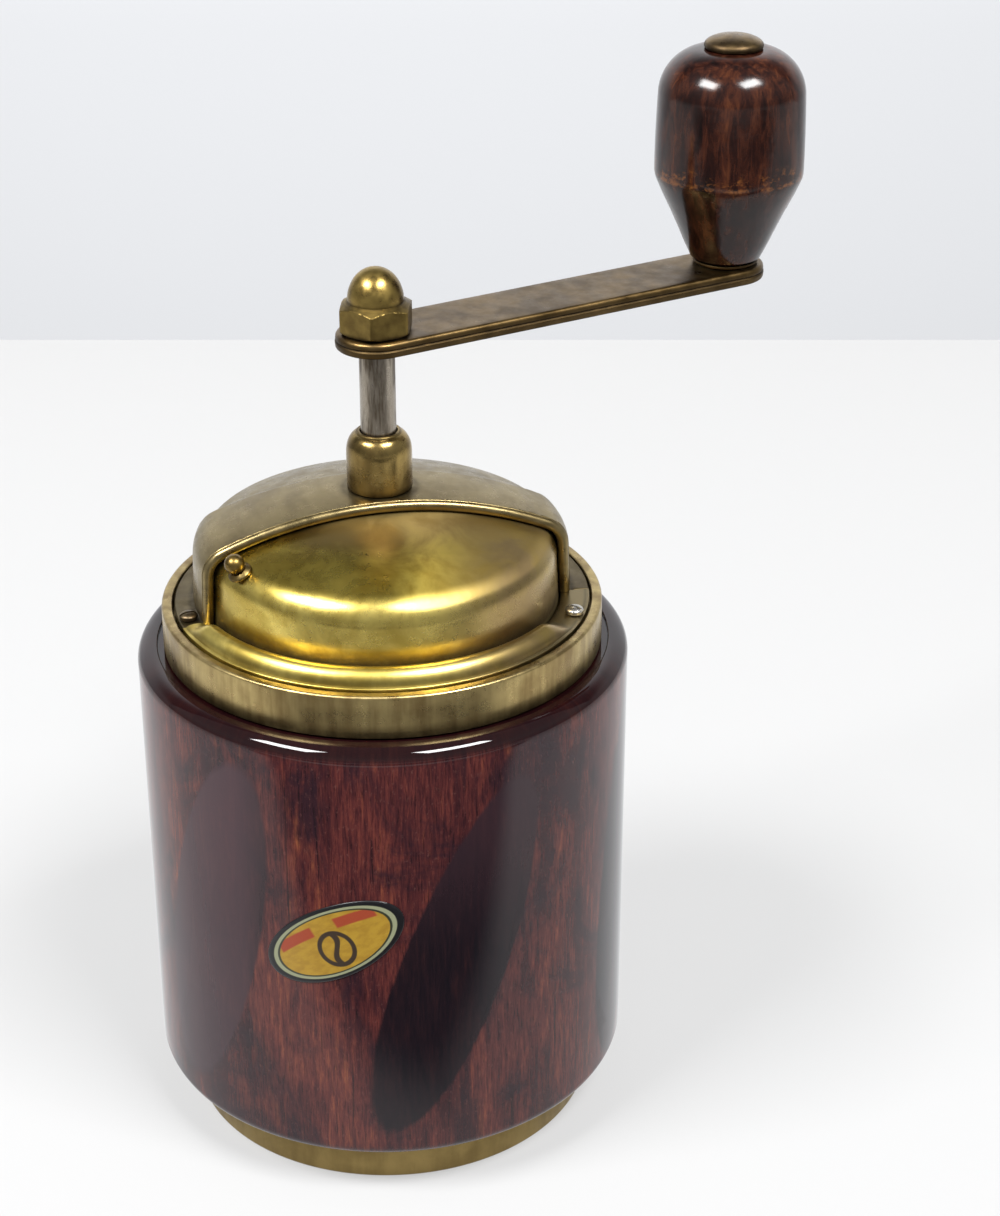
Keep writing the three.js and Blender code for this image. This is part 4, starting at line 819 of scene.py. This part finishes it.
def make_door():
    """The door: the outline 1.05 mm further in, over 162 degrees, with a whole ring round the bush."""
    outline = dome_outline(-DOOR_DROP, inner=DOOR_BORE, soften=DOOR_SOFTER)
    hub_rows = np.argmin(np.abs(outline[:, 0] - DOOR_HUB))
    half = math.radians(DOOR_SPAN / 2)
    behind = np.linspace(half, 2 * np.pi - half, 72)[1:-1]
    b = np.concatenate([np.linspace(-half, half, DOOR_COLUMNS), behind])
    r = outline[:, :1]
    x, y = turned(r * np.cos(b), r * np.sin(b), ARCH_TURN)
    z = np.broadcast_to(outline[:, 1:], x.shape)
    faces = grid_faces(*x.shape)
    row, column = np.divmod(np.arange(len(faces)), len(b))
    kept = (row < hub_rows) | (column < DOOR_COLUMNS - 1)
    # Darker at the door's foot by the sill and round the tower's foot: grime and patina, with painted shade
    marks = 0.55 * bell(z, HEAD_FOOT, 2.6) + 0.3 * bell(r, 7.5, 1.2)
    thing = piece(
        "door", np.stack([x, y, z], axis=-1), faces[kept], "door", door_brass, "bright_brass",
        ("hopper_door",), sharp=40, marks=marks,
    )
    outward(thing, (0, -20, ABOVE_MILL))
    add_solidify(thing, DOOR_SHEET)


KNOB_AZIMUTH = ARCH_TURN - 65.0
KNOB_TILT = 29.0


def tilted_to_shoulder(profile, closed=False):
    """A turned shape whose axis stands square on the door's shoulder where the knob sits.

    The shape turns about Y by the tilt, moves out to the shoulder's arc, and turns about Z to its azimuth.
    """
    points, faces = revolved(profile, 48, closed)
    cos, sin = math.cos(math.radians(KNOB_TILT)), math.sin(math.radians(KNOB_TILT))
    shoulder_r = DOME_RADIUS - SHOULDER_RADIUS
    rise = math.sqrt((CROWN_RADIUS - SHOULDER_RADIUS) ** 2 - shoulder_r ** 2)
    shoulder = SHOULDER_RADIUS - DOOR_DROP
    x, y, z = np.moveaxis(points, -1, 0)
    tilted_x = x * cos + z * sin + shoulder_r + shoulder * sin
    tilted_z = z * cos - x * sin + DOME_TOP - CROWN_RADIUS + rise + shoulder * cos
    return np.stack([*turned(tilted_x, y, KNOB_AZIMUTH), tilted_z], axis=-1), faces


def make_door_knob():
    """Ball on a waisted neck, darker towards its foot, and under it a ring with a rounded edge."""
    root, ball_radius, ball_height = -1.0, 1.85, 2.35
    ball = ellipse_arc(0, ball_height, ball_radius, ball_radius, -58, 90, 14)
    neck = rounded([(1.0, root, 0), (1.0, 0.9, 0.35), (*ball[0], 0)], 4)
    profile = np.concatenate([[[0, root]], neck[:-1], ball])
    piece("door_ball", *tilted_to_shoulder(profile), "door", nut_brass, "dark_brass", ("door_knob",),
          sharp=50, marks=1.2 - 0.8 * profile[:, 1:])
    bore, ring_radius, ring_foot, ring_top = 1.25, 2.25, 0.02, 0.95
    ring = rounded([
        (bore, ring_foot, 0), (ring_radius, ring_foot, 0), (ring_radius, 0.42, 0.35), (1.55, ring_top, 0.2),
        (bore, ring_top, 0),
    ], 5)
    piece("door_ball_ring", *tilted_to_shoulder(ring, closed=True), "door", tower_brass, "dark_brass",
          ("door_knob_washer",), sharp=50, marks=0.35)


SILL_WIDTH = 5.0
SILL_RIM = 0.4
SILL_INSIDE = PLATE_RADIUS - SILL_RIM - SILL_WIDTH
SILL_HEIGHT = 3.8
SILL_LIP = 0.95
SILL_START = -158.0
SILL_START_RUN = 9.0
SILL_START_SHARE = 0.25
SILL_END = -24.0
SILL_END_RUN = 13.0
SILL_COLUMNS = 300


def make_sill():
    """Half-round rim with a lip, its ends cut square in front of the arch.

    Angle b runs to where r cos b meets the cut. On the right the hump sinks in a smooth step to a flat ring,
    and on the left to a quarter of its height.
    """
    crest = SILL_INSIDE + SILL_WIDTH / 2
    hump = ellipse_arc(crest, HEAD_FOOT, SILL_WIDTH / 2, SILL_HEIGHT, 180, 18, 30)
    lip_top = HEAD_FOOT + SILL_LIP
    lip = rounded([
        (*hump[-1], 0), (PLATE_RADIUS - 0.35, lip_top + 0.15, 0), (PLATE_RADIUS, lip_top, 0.2),
        (PLATE_RADIUS, HEAD_FOOT, 0), (SILL_INSIDE, HEAD_FOOT, 0),
    ], 5)[1:-1]
    r, height = np.concatenate([hump, lip]).T
    flat = np.minimum(height, HEAD_FOOT + SHEET)
    cut = ARCH_FRONT + 0.02
    b = np.linspace(-1, 1, SILL_COLUMNS)[:, None] * np.arccos(cut / r)
    azimuth = np.degrees(b) + ARCH_TURN
    left = SILL_START_SHARE + (1 - SILL_START_SHARE) * ease((azimuth - SILL_START) / SILL_START_RUN)
    z = flat + (height - flat) * ease((SILL_END - azimuth) / SILL_END_RUN) * left
    points = np.stack([*turned(r * np.cos(b), r * np.sin(b), ARCH_TURN), z], axis=-1)
    faces = grid_faces(*z.shape).tolist() + [first_ring(len(r)), last_ring(*z.shape)]
    # Darker along the sill's inner edge next to the door and in the dip by its lip: painted shade, with
    # patina
    marks = 0.765 * bell(r, SILL_INSIDE, 0.7) + 0.5 * bell(r, PLATE_RADIUS - 0.7, 0.3)
    piece("sill", points, faces, "head", door_brass, "bright_brass", ("front_sill",), sharp=35, marks=marks)


# Turned pieces

def turned_piece(name, profile, body, material, slot, stands_for, columns, centre=(0, 0), sharp=32,
                 marks=None):
    """A turned piece whose profile is closed on itself, with one mark of patina and painted shade for each
    profile point.
    """
    points, faces = revolved(profile, columns, True, centre)
    if marks is not None:
        marks = marks[:, None]
    piece(name, points, faces, body, material, slot, stands_for, sharp, marks=marks)


def wood_uv(profile, columns):
    """Arc length round the wall, counted from its front, and height, both in mm / 100, for each face corner.

    Columns are counted from +X, so a quarter of the way round is added up to the back, and three quarters
    are taken off after it. The seam falls at the back.
    """
    rows = len(profile)
    r, c = np.meshgrid(np.arange(rows - 1), np.arange(columns), indexing="ij")
    whole = 2 * np.pi * BODY_RADIUS / 100
    height = profile[:, 1] / 100
    u = np.stack([c, c + 1, c + 1, c], axis=-1) * whole / columns
    u = np.where(u[..., :1] < whole / 4 - 1e-6, u + whole / 4, u - 3 * whole / 4)
    v = np.stack([height[r], height[r], height[r + 1], height[r + 1]], axis=-1)
    return np.stack([u, v], axis=-1).reshape(-1, 4, 2)


def make_wood():
    """Cup: spigot, wall with rounded corners, seat for the collar, counterbore and the cup inside."""
    spigot, mouth, skirt_bore, inside = 37.7, 42.2, 38.5, 35
    foot = low("wood_body")[2]
    under = high("foot_ring")[2] + 0.3
    top = high("wood_body")[2]
    seat = top - 0.6
    skirt = low("collar")[2] - 0.3
    floor = under + 4.5
    profile = spaced(rounded([
        (0, foot, 0), (spigot, foot, 0.4), (spigot, under, 0), (BODY_RADIUS, under, 2.6),
        (BODY_RADIUS, top, 3.0), (mouth, top, 0.25), (mouth, seat, 0), (skirt_bore, seat, 0.3),
        (skirt_bore, skirt, 0.3), (inside, skirt, 0.3), (inside, floor, 4.0), (0, floor, 0),
    ], 12), 4.0)
    columns = 256
    points, faces = revolved(profile, columns, closed=False)
    piece("cup", points, faces, "cup", body_wood, "lacquered_wood", ("wood_body",), 40,
          uv=wood_uv(profile, columns))


def make_foot():
    """Foot band: an upright wall with a small outer edge, turned in underneath."""
    wall, wall_inside, rim_inside, rim = 39.5, 38.0, 30.5, 1.2
    top = high("foot_ring")[2]
    profile = rounded([
        (rim_inside, 0, 0.2), (wall, 0, 0.7), (wall, top, 0.25), (wall_inside, top, 0.2),
        (wall_inside, rim, 0.4), (rim_inside, rim, 0.2),
    ])
    # Darker towards the top of the band, under the wood's overhang: painted shade, with tarnish
    rise = np.clip((profile[:, 1] - 5.5) / 4.0, 0, 1)
    turned_piece("foot_band", profile, "cup", foot_brass, "aged_brass", ("foot_ring",), 256,
                 marks=0.35 * rise)


def make_collar():
    """Collar: upright band, rolled rim, shelf and the skirt that goes down into the cup."""
    band, rim_inside, band_inside = 41, 39.0, 38.88
    skirt_outside, skirt_inside, step_inside = 38.2, 36.2, 34.6
    skirt_foot = low("collar")[2]
    foot = skirt_foot + 13.2
    top = high("collar")[2]
    shelf = top - 2.1
    shelf_under = shelf - 2.8
    profile = spaced(rounded([
        (band, foot, 0.3), (band, top - 0.72, 0), (band - 0.1, top, 0.55), (rim_inside, top, 0.45),
        (band_inside, shelf, 0), (step_inside, shelf, 0.2), (step_inside, shelf_under, 0.2),
        (skirt_inside, shelf_under, 0.3), (skirt_inside, skirt_foot, 0.2), (skirt_outside, skirt_foot, 0.3),
        (skirt_outside, foot, 0),
    ]), 3.0)
    r, z = profile.T
    # Darker at the band's foot against the wood and in the groove inside the rim: painted shade, with patina;
    # and a dark line just below the rounded top edge
    foot_mark = 0.85 * bell(z, foot, 0.9) * (r > band - 1)
    shelf_mark = 0.6 * ((r < rim_inside + 0.2) & (z > shelf - 1))
    rim_mark = 0.25 * bell(z, top - 1.4, 0.5) * (r > band - 0.5)
    turned_piece("collar_band", profile, "head", band_brass, "aged_brass", ("collar",), 256,
                 marks=foot_mark + shelf_mark + rim_mark)


def make_bush():
    """Tower: straight wall, rounded shoulder and a small flat lip round the bore, with the neck below."""
    wall, neck, bore, lip_radius = 6.0, 4.3, 3.5, 4.05
    foot = low("shaft_bush")[2]
    top = high("shaft_bush")[2]
    boss = top - 10.6
    wall_foot = boss - 0.25
    shoulder = ellipse_arc(wall - 2.15, top - 4.1, 2.15, 3.8, 0, 84, 14)
    below = rounded([
        (bore, foot, 0), (neck, foot, 0), (neck, wall_foot, 0), (wall, wall_foot, 0.15), (wall, boss + 1, 0),
    ], 4)
    lip = rounded([(lip_radius + 0.1, top - 0.3, 0), (lip_radius, top, 0.15), (bore, top, 0)], 3)
    profile = spaced(np.concatenate([below, shoulder, lip]), 2.0)
    r, z = profile.T
    # Darker at the tower's foot and at the edge round the bore: painted shade, with patina
    marks = 0.8 * bell(z, boss, 0.8) + 0.6 * bell(r, 3.9, 0.3) * (z > boss)
    turned_piece("tower", profile, "head", tower_brass, "dark_brass", ("shaft_bush",), 96, marks=marks)


def make_shaft():
    """Shaft: round, with a turned collar and a groove, and cut flat on two sides below the spring's seat."""
    radius, groove, thrust_radius, end_radius, flat = 3.25, 2.7, 5.2, 2.95, 2.3
    foot, top = low("shaft")[2], high("shaft")[2]
    groove_foot, groove_top = low("shaft_clip")[2] - 0.1, high("shaft_clip")[2] + 0.1
    thrust = high("lower_bush")[2] + 0.3
    thrust_top = thrust + 2.4
    flats_top = low("spring_seat")[2]
    step = ARM_FOOT - 0.3
    profile = spaced(rounded([
        (0, foot, 0), (radius, foot, 0.5), (radius, flats_top - 0.02, 0), (radius, flats_top + 0.02, 0),
        (radius, groove_foot, 0), (groove, groove_foot, 0), (groove, groove_top, 0), (radius, groove_top, 0),
        (radius, thrust, 0), (thrust_radius, thrust, 0.3), (thrust_radius, thrust_top, 0.3),
        (radius, thrust_top, 0), (radius, step, 0.15), (end_radius, step, 0), (end_radius, top, 0.5),
        (0, top, 0),
    ], 4), 3.0)
    points, faces = revolved(profile, 96, False)
    flattened = points[..., 2] < flats_top
    points[flattened, 1] = np.clip(points[flattened, 1], -flat, flat)
    piece("spindle", points, faces, "crank", shaft_steel, "steel", ("shaft",), 35)


def make_arm():
    """Bar with round ends: its edge profile goes round a line from axis to axis, turned outwards all the way.

    The edge has a foot with a rounded bead, a groove above it and a wall with a rounded top.
    """
    half = 7.45
    groove = ARM_FOOT + 1.45
    edge = rounded([
        (half - 2, ARM_FOOT, 0), (half - 0.1, ARM_FOOT, 0.45), (half, groove - 0.3, 0.2),
        (half - 0.28, groove, 0.12), (half - 0.1, groove + 0.3, 0.2), (half - 0.2, ARM_TOP, 0.75),
        (half - 2, ARM_TOP, 0),
    ], 5)
    inset = spaced(np.concatenate([[[0, ARM_FOOT]], edge, [[0, ARM_TOP]]]), 1.6)
    r, z = inset[:, :1], inset[:, 1:]
    far_end = np.linspace(-90, 90, 49)
    near_end = np.linspace(90, 270, 49)
    side = np.linspace(0, 1, 40)[1:-1]
    centre = np.concatenate([0 * far_end + 1, 1 - side, 0 * near_end, side]) * ARM_LENGTH
    angle = np.radians(np.concatenate([far_end, 0 * side + 90, near_end, 0 * side + 270]))
    x, y = turned(centre + r * np.cos(angle), r * np.sin(angle), ARM_TURN)
    # Darker in the groove, on the sides below the top's rounding and underneath: painted shade, with patina
    groove_mark = 0.5 * bell(z, groove, 0.22) * (r > half - 0.6)
    edge_mark = 0.5 * (r > half - 0.5) * (z < ARM_TOP - 0.5)
    under_mark = 0.5 * (z < ARM_FOOT + 0.2)
    points = np.stack([x, y, np.broadcast_to(z, x.shape)], axis=-1)
    piece("arm", points, grid_faces(*x.shape), "crank", arm_brass, "dark_brass", ("crank_arm",), 30,
          marks=groove_mark + edge_mark + under_mark)


def make_cap_nut():
    """Acorn nut: a hexagon with chamfered ends, and on it a dome a little fuller than a quarter ellipse.

    At each height the radius is the smaller of the chamfer's and the hexagon's. The hexagon's, with softened
    corners, is flats / (sum of cos(phi - side)^60 over its six sides)^(1/60).
    """
    foot = low("cap_nut")[2]
    top = high("cap_nut")[2]
    hex_top = foot + 5.2
    flats, bore, dome_radius, softness, columns = 6.1, 3.0, 5.05, 60, 240
    phi = np.linspace(0, 2 * np.pi, columns, endpoint=False)
    sides = np.radians(-67.4 + 60 * np.arange(6))
    wedge = np.clip(np.cos(phi - sides[:, None]), 0, None)
    hexagon = flats / (wedge ** softness).sum(axis=0) ** (1 / softness)
    z = np.concatenate([
        np.linspace(foot, foot + 0.8, 6), np.linspace(foot + 0.8, hex_top - 1.6, 8)[1:],
        np.linspace(hex_top - 1.6, hex_top + 0.25, 16)[1:],
    ])
    chamfer = np.minimum(6.35 + (z - foot) * 1.5, dome_radius + (z[-1] - z) * 1.75)
    body = np.minimum(hexagon, chamfer[:, None])
    a = np.radians(np.linspace(0, 90, 26))[:, None]
    dome_foot = hex_top + 0.3
    dome = dome_radius * np.cos(a) ** 0.97 + 0 * phi
    r = np.concatenate([bore + 0 * dome[:1], body, dome])
    heights = np.concatenate([[foot], z, dome_foot + (top - dome_foot) * np.sin(a[:, 0])])[:, None]
    points = np.stack([r * np.cos(phi), r * np.sin(phi), np.broadcast_to(heights, r.shape)], axis=-1)
    faces = grid_faces(*r.shape).tolist() + [first_ring(columns)]
    # Darker in the groove under the dome, at the foot and on the hexagon's sides: painted shade, with patina
    groove_mark = 0.75 * bell(heights, dome_foot, 0.35)
    foot_mark = 0.6 * bell(heights, foot, 0.5)
    sides_mark = 0.35 * (heights < hex_top)
    piece("acorn_nut", points, faces, "crank", nut_brass, "bright_brass", ("cap_nut",), 35,
          marks=groove_mark + foot_mark + sides_mark)


KNOB_CENTRE = turned(ARM_LENGTH, 0, ARM_TURN)


def make_knob():
    """Handle: foot, cone, crisp ridge, upright wall and an oval top down to the pin's head."""
    foot, top = low("crank_knob")[2], high("crank_knob")[2]
    bore = 2.25
    cone = [
        [bore, 0.0], [6.2, 0.0], [6.75, 0.35], [7.35, 1.6], [8.2, 3.4], [9.0, 5.3], [10.75, 9.2],
        [12.65, 13.1], [13.55, 15.2], [13.86, 16.05], [13.98, 16.65],
    ]
    wall = [[14.02, 17.6], [14.01, 20.0], [13.95, 24.0], [13.84, 28.0], [13.74, 30.6]]
    crest = foot + 31.2
    cap = ellipse_arc(5.3, crest, 8.4, top - crest, 0, 90, 26)
    side = np.array(cone + wall) + [0, foot]
    profile = spaced(np.concatenate([side, cap, [[bore, top]]]), 1.5)
    turned_piece("handle", profile, "knob", handle_wood, "knob_wood", ("crank_knob",), 160, KNOB_CENTRE, 28)


def make_pin():
    """Pin through the handle, with a low domed head, and the washer under the handle."""
    shank, head = 2, 5.5
    foot, top = low("knob_screw")[2], high("knob_screw")[2]
    seat = high("crank_knob")[2] + 0.15
    dome = ellipse_arc(0, seat + 0.5, head, top - seat - 0.5, 0, 90, 16)
    below = rounded([
        (0, foot, 0), (shank, foot, 0.3), (shank, seat, 0), (head - 0.1, seat, 0.15), (head, seat + 0.4, 0),
    ], 3)
    profile = np.concatenate([below, dome])
    points, faces = revolved(profile, 96, False, KNOB_CENTRE)
    # Darker round the edge of the pin's head, where it meets the knob: painted shade, with patina
    piece("pin", points, faces, "crank", cap_bronze, "aged_brass", ("knob_screw",),
          marks=0.8 * bell(profile[:, :1], head, 0.35))
    bore, radius = 2.2, 6.2
    foot, top = low("knob_washer")[2], high("knob_washer")[2]
    washer = rounded([(bore, foot, 0), (radius, foot, 0.15), (radius, top, 0.15), (bore, top, 0)], 3)
    turned_piece("handle_washer", washer, "crank", arm_brass, "dark_brass", ("knob_washer",), 96, KNOB_CENTRE,
                 marks=np.full(len(washer), 0.6))


# Trim

def make_flange_screw(side, material, slot_turn):
    """Round-headed screw: a disc in rows along its slot, domed, and sunk between two of the rows.

    A row at angle beta lies radius sin(beta) from the middle and is 2 radius cos(beta) long. The head's
    height is rim + dome sqrt(1 - (x^2 + y^2) / radius^2), and the slot's floor is level.
    """
    node = f"flange_screw_{side}"
    head, dome, rim = 1.2, 0.75, 0.45
    radius, slot_half, slot_depth = 1.7, 0.25, 0.6
    foot = low(node)[2]
    seat = high(node)[2] - head
    quarter, lie = math.pi / 2, math.asin(slot_half / radius)
    beta = np.concatenate([
        np.linspace(-quarter, -lie, 12), np.linspace(-lie, lie, 4), np.linspace(lie, quarter, 12),
    ])[:, None]
    x = np.sin(np.linspace(-quarter, quarter, 24)) * radius * np.cos(beta)
    y = np.broadcast_to(radius * np.sin(beta), x.shape)
    z = seat + rim + dome * np.sqrt(np.clip(1 - (x ** 2 + y ** 2) / radius ** 2, 0, 1))
    z[12:16] = np.minimum(z[12:16], seat + head - slot_depth)
    under = np.full_like(z, seat)
    ring = np.concatenate([np.stack([x, y, z], axis=-1), np.stack([x, y, under], axis=-1)[:, ::-1]], axis=1)
    centre = ((low(node) + high(node)) / 2)[:2]
    px, py = turned(ring[..., 0], ring[..., 1], slot_turn)
    points = np.stack([px + centre[0], py + centre[1], ring[..., 2]], axis=-1)
    # Darker round the foot of the head, against the flange: painted shade, with patina
    piece(f"screw_{side}", points, grid_faces(*px.shape), "head", material, "steel", (node,), 35,
          marks=np.where(ring[..., 2] < seat + 0.62, 0.8, 0.1))
    shank = rounded([(0, foot, 0), (1.0, foot, 0.2), (1.0, seat + 0.1, 0), (0, seat + 0.1, 0)], 3)
    piece(f"screw_{side}_shank", *revolved(shank, 24, False, centre), "head", screw_brown, "steel", (), 35)


def make_label():
    """Thin oval bent round the wall: x and y of the oval, turned, become arc length and height.

    The angle round the wall is arc length / radius, from the front. The face is 0.22 mm above the wall and a
    little lower at its edge, and the back just clears the wall.
    """
    half_length, half_height, tilt, columns = 14.2, 7.2, 30, 128
    middle_arc, middle_z = -10.3, low("label")[2] / 2 + high("label")[2] / 2
    face, edge, back, edge_share = 0.22, 0.12, 0.03, 0.985
    rho = np.concatenate([np.linspace(0, edge_share, 30), [1.0]])[:, None]
    theta = np.linspace(0, 2 * np.pi, columns, endpoint=False)
    u = rho * np.cos(theta)
    v = rho * np.sin(theta)
    along, up = turned(u * half_length, v * half_height, tilt)
    a = (middle_arc + along) / BODY_RADIUS - math.pi / 2
    z = middle_z + up
    outer_r = BODY_RADIUS + np.where(rho <= edge_share, face, edge)
    inner_r = BODY_RADIUS + back
    outer = np.stack([outer_r * np.cos(a), outer_r * np.sin(a), z], axis=-1)
    inner = np.stack([inner_r * np.cos(a), inner_r * np.sin(a), z], axis=-1)
    printed = np.stack([u, v], axis=-1)
    flat = np.concatenate([printed, printed[::-1]]).reshape(-1, 2)
    faces = grid_faces(2 * len(rho), columns)
    points = np.concatenate([outer, inner[::-1]])
    piece("oval_label", points, faces, "cup", label_print, "label_foil", ("label",), 60, uv=flat[faces])


make_wood()
make_foot()
make_collar()
make_dome_cover()
make_arch_bead()
make_sill()
make_door()
make_door_knob()
make_bush()
make_shaft()
make_arm()
make_cap_nut()
make_knob()
make_pin()
make_label()
make_flange_screw("left", screw_brown, 20)
make_flange_screw("right", screw_silver, -35)
make_flange_screw("rear", screw_brown, 50)


# Finishes of the solids that stay; those not named here are steel

solid_finishes = {
    "felt_pad": felt,
    "top_plate": dome_brass,
    "bush_spacer": tower_brass,
    "lower_bush": nut_brass,
    "adjusting_nut": nut_brass,
    "mill_housing": iron,
}
for name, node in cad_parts.items():
    if node.hide_render:
        continue
    node.data.materials.clear()
    node.data.materials.append(solid_finishes.get(name, burr_steel))


# Floor, wall, lights and camera; places and sizes here are in metres, but materials stay in millimetres

FLOOR_REACH = 0.8336
FLOOR_LENGTH = 4.0
WALL_GAP = 0.45
WALL_FOOT = -0.8
WALL_TOP = 2.2
STAGE_HALF_WIDTH = 3.0
FLOOR_GLOW = 0.46

CARD_HEIGHT = 0.001
CARD_GLOW = 0.95

MILL_HEAD = (0, 0, 0.13)
ROOM_TINT = (1, 1.02, 1.05)


def stage_sheet(name, material, *quads):
    """A flat sheet of the stage, of one or more quads."""
    mesh = bpy.data.meshes.new(name)
    corners = [tuple(corner) for quad in quads for corner in quad]
    mesh.from_pydata(corners, [], np.arange(len(corners)).reshape(-1, 4).tolist())
    mesh.materials.append(material)
    thing = bpy.data.objects.new(name, mesh)
    bpy.context.scene.collection.objects.link(thing)
    return thing


def make_stage():
    """A pale floor that ends square to the camera's direction, and a wall well behind it, darker high up.

    Half of the floor's brightness is a faint glow of its own, which keeps the shadows on it light.
    """
    n = Nodes("floor paper")
    tone = n.mix(n.span(n.parts()[1], -150, 420), (0.224, 0.224, 0.224), (0.266, 0.266, 0.266))
    floor_paper = n.set(Base_Color=tone, Roughness=0.6, Specular_IOR_Level=0.0, Emission_Color=(1, 1, 1),
                        Emission_Strength=FLOOR_GLOW)
    n = Nodes("wall paper")
    tone = n.mix(n.span(n.parts()[2], 480, 1150), (0.815, 0.825, 0.845), (0.22, 0.228, 0.237))
    wall_paper = n.set(Base_Color=tone, Roughness=0.8)
    forward = np.array([*turned(0, 1, -CAMERA_YAW), 0])
    side = np.array([*turned(1, 0, -CAMERA_YAW), 0]) * STAGE_HALF_WIDTH
    up = np.array([0, 0, 1])
    far = np.array([*CAMERA_PLACE[:2], 0]) + forward * FLOOR_REACH
    near = far - forward * FLOOR_LENGTH
    stage_sheet("floor", floor_paper, [near - side, near + side, far + side, far - side])
    foot = far + forward * WALL_GAP + up * WALL_FOOT
    top = far + forward * WALL_GAP + up * WALL_TOP
    stage_sheet("wall", wall_paper, [foot - side, foot + side, top + side, top - side])


def lay_card(name, material, *quads):
    """A sheet that only reflections show."""
    card = stage_sheet(name, material, *quads)
    card.visible_camera = False
    card.visible_diffuse = False
    card.visible_shadow = False
    card.visible_transmission = False


def rectangle(left, right, near, far):
    """Corners of a card just above the floor."""
    return [(x, y, CARD_HEIGHT) for x, y in ((left, near), (right, near), (right, far), (left, far))]


def make_dark_cards():
    """Two dark cards lying in front of the mill, seen only in the lacquer and the metal.

    The near one is a wedge: it begins where y falls below -56 mm - 0.36 |x - 22 mm| and ends between -225 mm
    and -270 mm. The far one, below the knob's reflection, begins between -310 mm and -345 mm. All their
    edges are smooth steps.
    """
    n = Nodes("dark card")
    x, y, _ = n.parts()
    sideways = n.times(n.size(n.minus(x, 22)), 0.36)
    ahead = n.minus(n.times(y, -1), n.plus(sideways, 56))
    near_card = n.times(n.span(ahead, 0, 35), n.span(y, -270, -225))
    far_card = n.span(y, -310, -345)
    card_black = n.set(Base_Color=(0.03, 0.03, 0.033), Roughness=0.9, Alpha=n.larger(near_card, far_card))
    lay_card("dark_card", card_black, rectangle(-0.9, 0.9, -0.9, 0))


def make_pale_cards():
    """Two pale cards lying beside the mill, seen only in the lacquer and the metal, over its shadow.

    Their near edges are a smooth step in y - 0.45 (|x| - 58 mm), from -57 mm to -21 mm.
    """
    n = Nodes("pale card")
    x, y, _ = n.parts()
    behind = n.minus(y, n.times(n.minus(n.size(x), 58), 0.45))
    card_white = n.set(Base_Color=(0, 0, 0), Roughness=1.0, Alpha=n.span(behind, -57, -21),
                       Emission_Color=(0.97, 0.985, 1.0), Emission_Strength=CARD_GLOW)
    right = rectangle(0.042, 0.5, -0.08, 0.38)
    left = rectangle(-0.5, -0.042, -0.08, 0.38)
    lay_card("pale_cards", card_white, right, left)


def soft_light(name, toward, distance, width, height, power):
    """A rectangular lamp in a direction from the head of the mill, turned so that it shines at it."""
    lamp = bpy.data.lights.new(name, "AREA")
    lamp.shape = "RECTANGLE"
    lamp.size, lamp.size_y = width, height
    lamp.energy = power
    thing = bpy.data.objects.new(name, lamp)
    x, y, z = np.array(toward) / np.linalg.norm(toward)
    thing.location = np.array(MILL_HEAD) + distance * np.array([x, y, z])
    thing.rotation_euler = (math.atan2(math.hypot(x, y), z), 0, math.atan2(x, -y))
    bpy.context.scene.collection.objects.link(thing)


def make_world():
    """Room light: mid grey, lightest a third of the way up and darker overhead."""
    world = bpy.data.worlds.new("room")
    bpy.context.scene.world = world
    world.use_nodes = True
    tree = world.node_tree
    tree.nodes.clear()
    coordinates = tree.nodes.new("ShaderNodeTexCoord")
    split = tree.nodes.new("ShaderNodeSeparateXYZ")
    ramp = tree.nodes.new("ShaderNodeValToRGB")
    background = tree.nodes.new("ShaderNodeBackground")
    output = tree.nodes.new("ShaderNodeOutputWorld")
    stops = ramp.color_ramp
    stops.elements.new(0.5)
    stops.elements.new(0.5)
    bands = ((0.0, 0.22), (0.35, 0.40), (0.60, 0.32), (0.88, 0.27))
    for element, (height, light) in zip(stops.elements, bands):
        element.position = height
        element.color = (*(light * tint for tint in ROOM_TINT), 1)
    tree.links.new(coordinates.outputs["Generated"], split.inputs[0])
    tree.links.new(split.outputs["Z"], ramp.inputs[0])
    tree.links.new(ramp.outputs[0], background.inputs[0])
    background.inputs[1].default_value = 1.0
    tree.links.new(background.outputs[0], output.inputs[0])


def make_camera():
    """Camera at the photograph's place, turned by its yaw and dip, without roll or shift."""
    lens = bpy.data.cameras.new("camera")
    lens.lens = CAMERA_LENS
    lens.sensor_width = 36
    lens.sensor_fit = "AUTO"
    lens.clip_start = 0.01
    lens.clip_end = 20
    thing = bpy.data.objects.new("camera", lens)
    thing.location = CAMERA_PLACE
    thing.rotation_euler = (math.radians(90 - CAMERA_DIP), 0, math.radians(-CAMERA_YAW))
    bpy.context.scene.collection.objects.link(thing)
    bpy.context.scene.camera = thing


bpy.context.scene.view_settings.view_transform = "Standard"
make_stage()
make_dark_cards()
make_pale_cards()
soft_light("left softbox", (-0.547, -0.350, 0.783), 1.1, 0.48, 0.28, 17)
soft_light("right softbox", (0.375, -0.444, 0.815), 1.1, 0.48, 0.28, 17)
make_world()
make_camera()
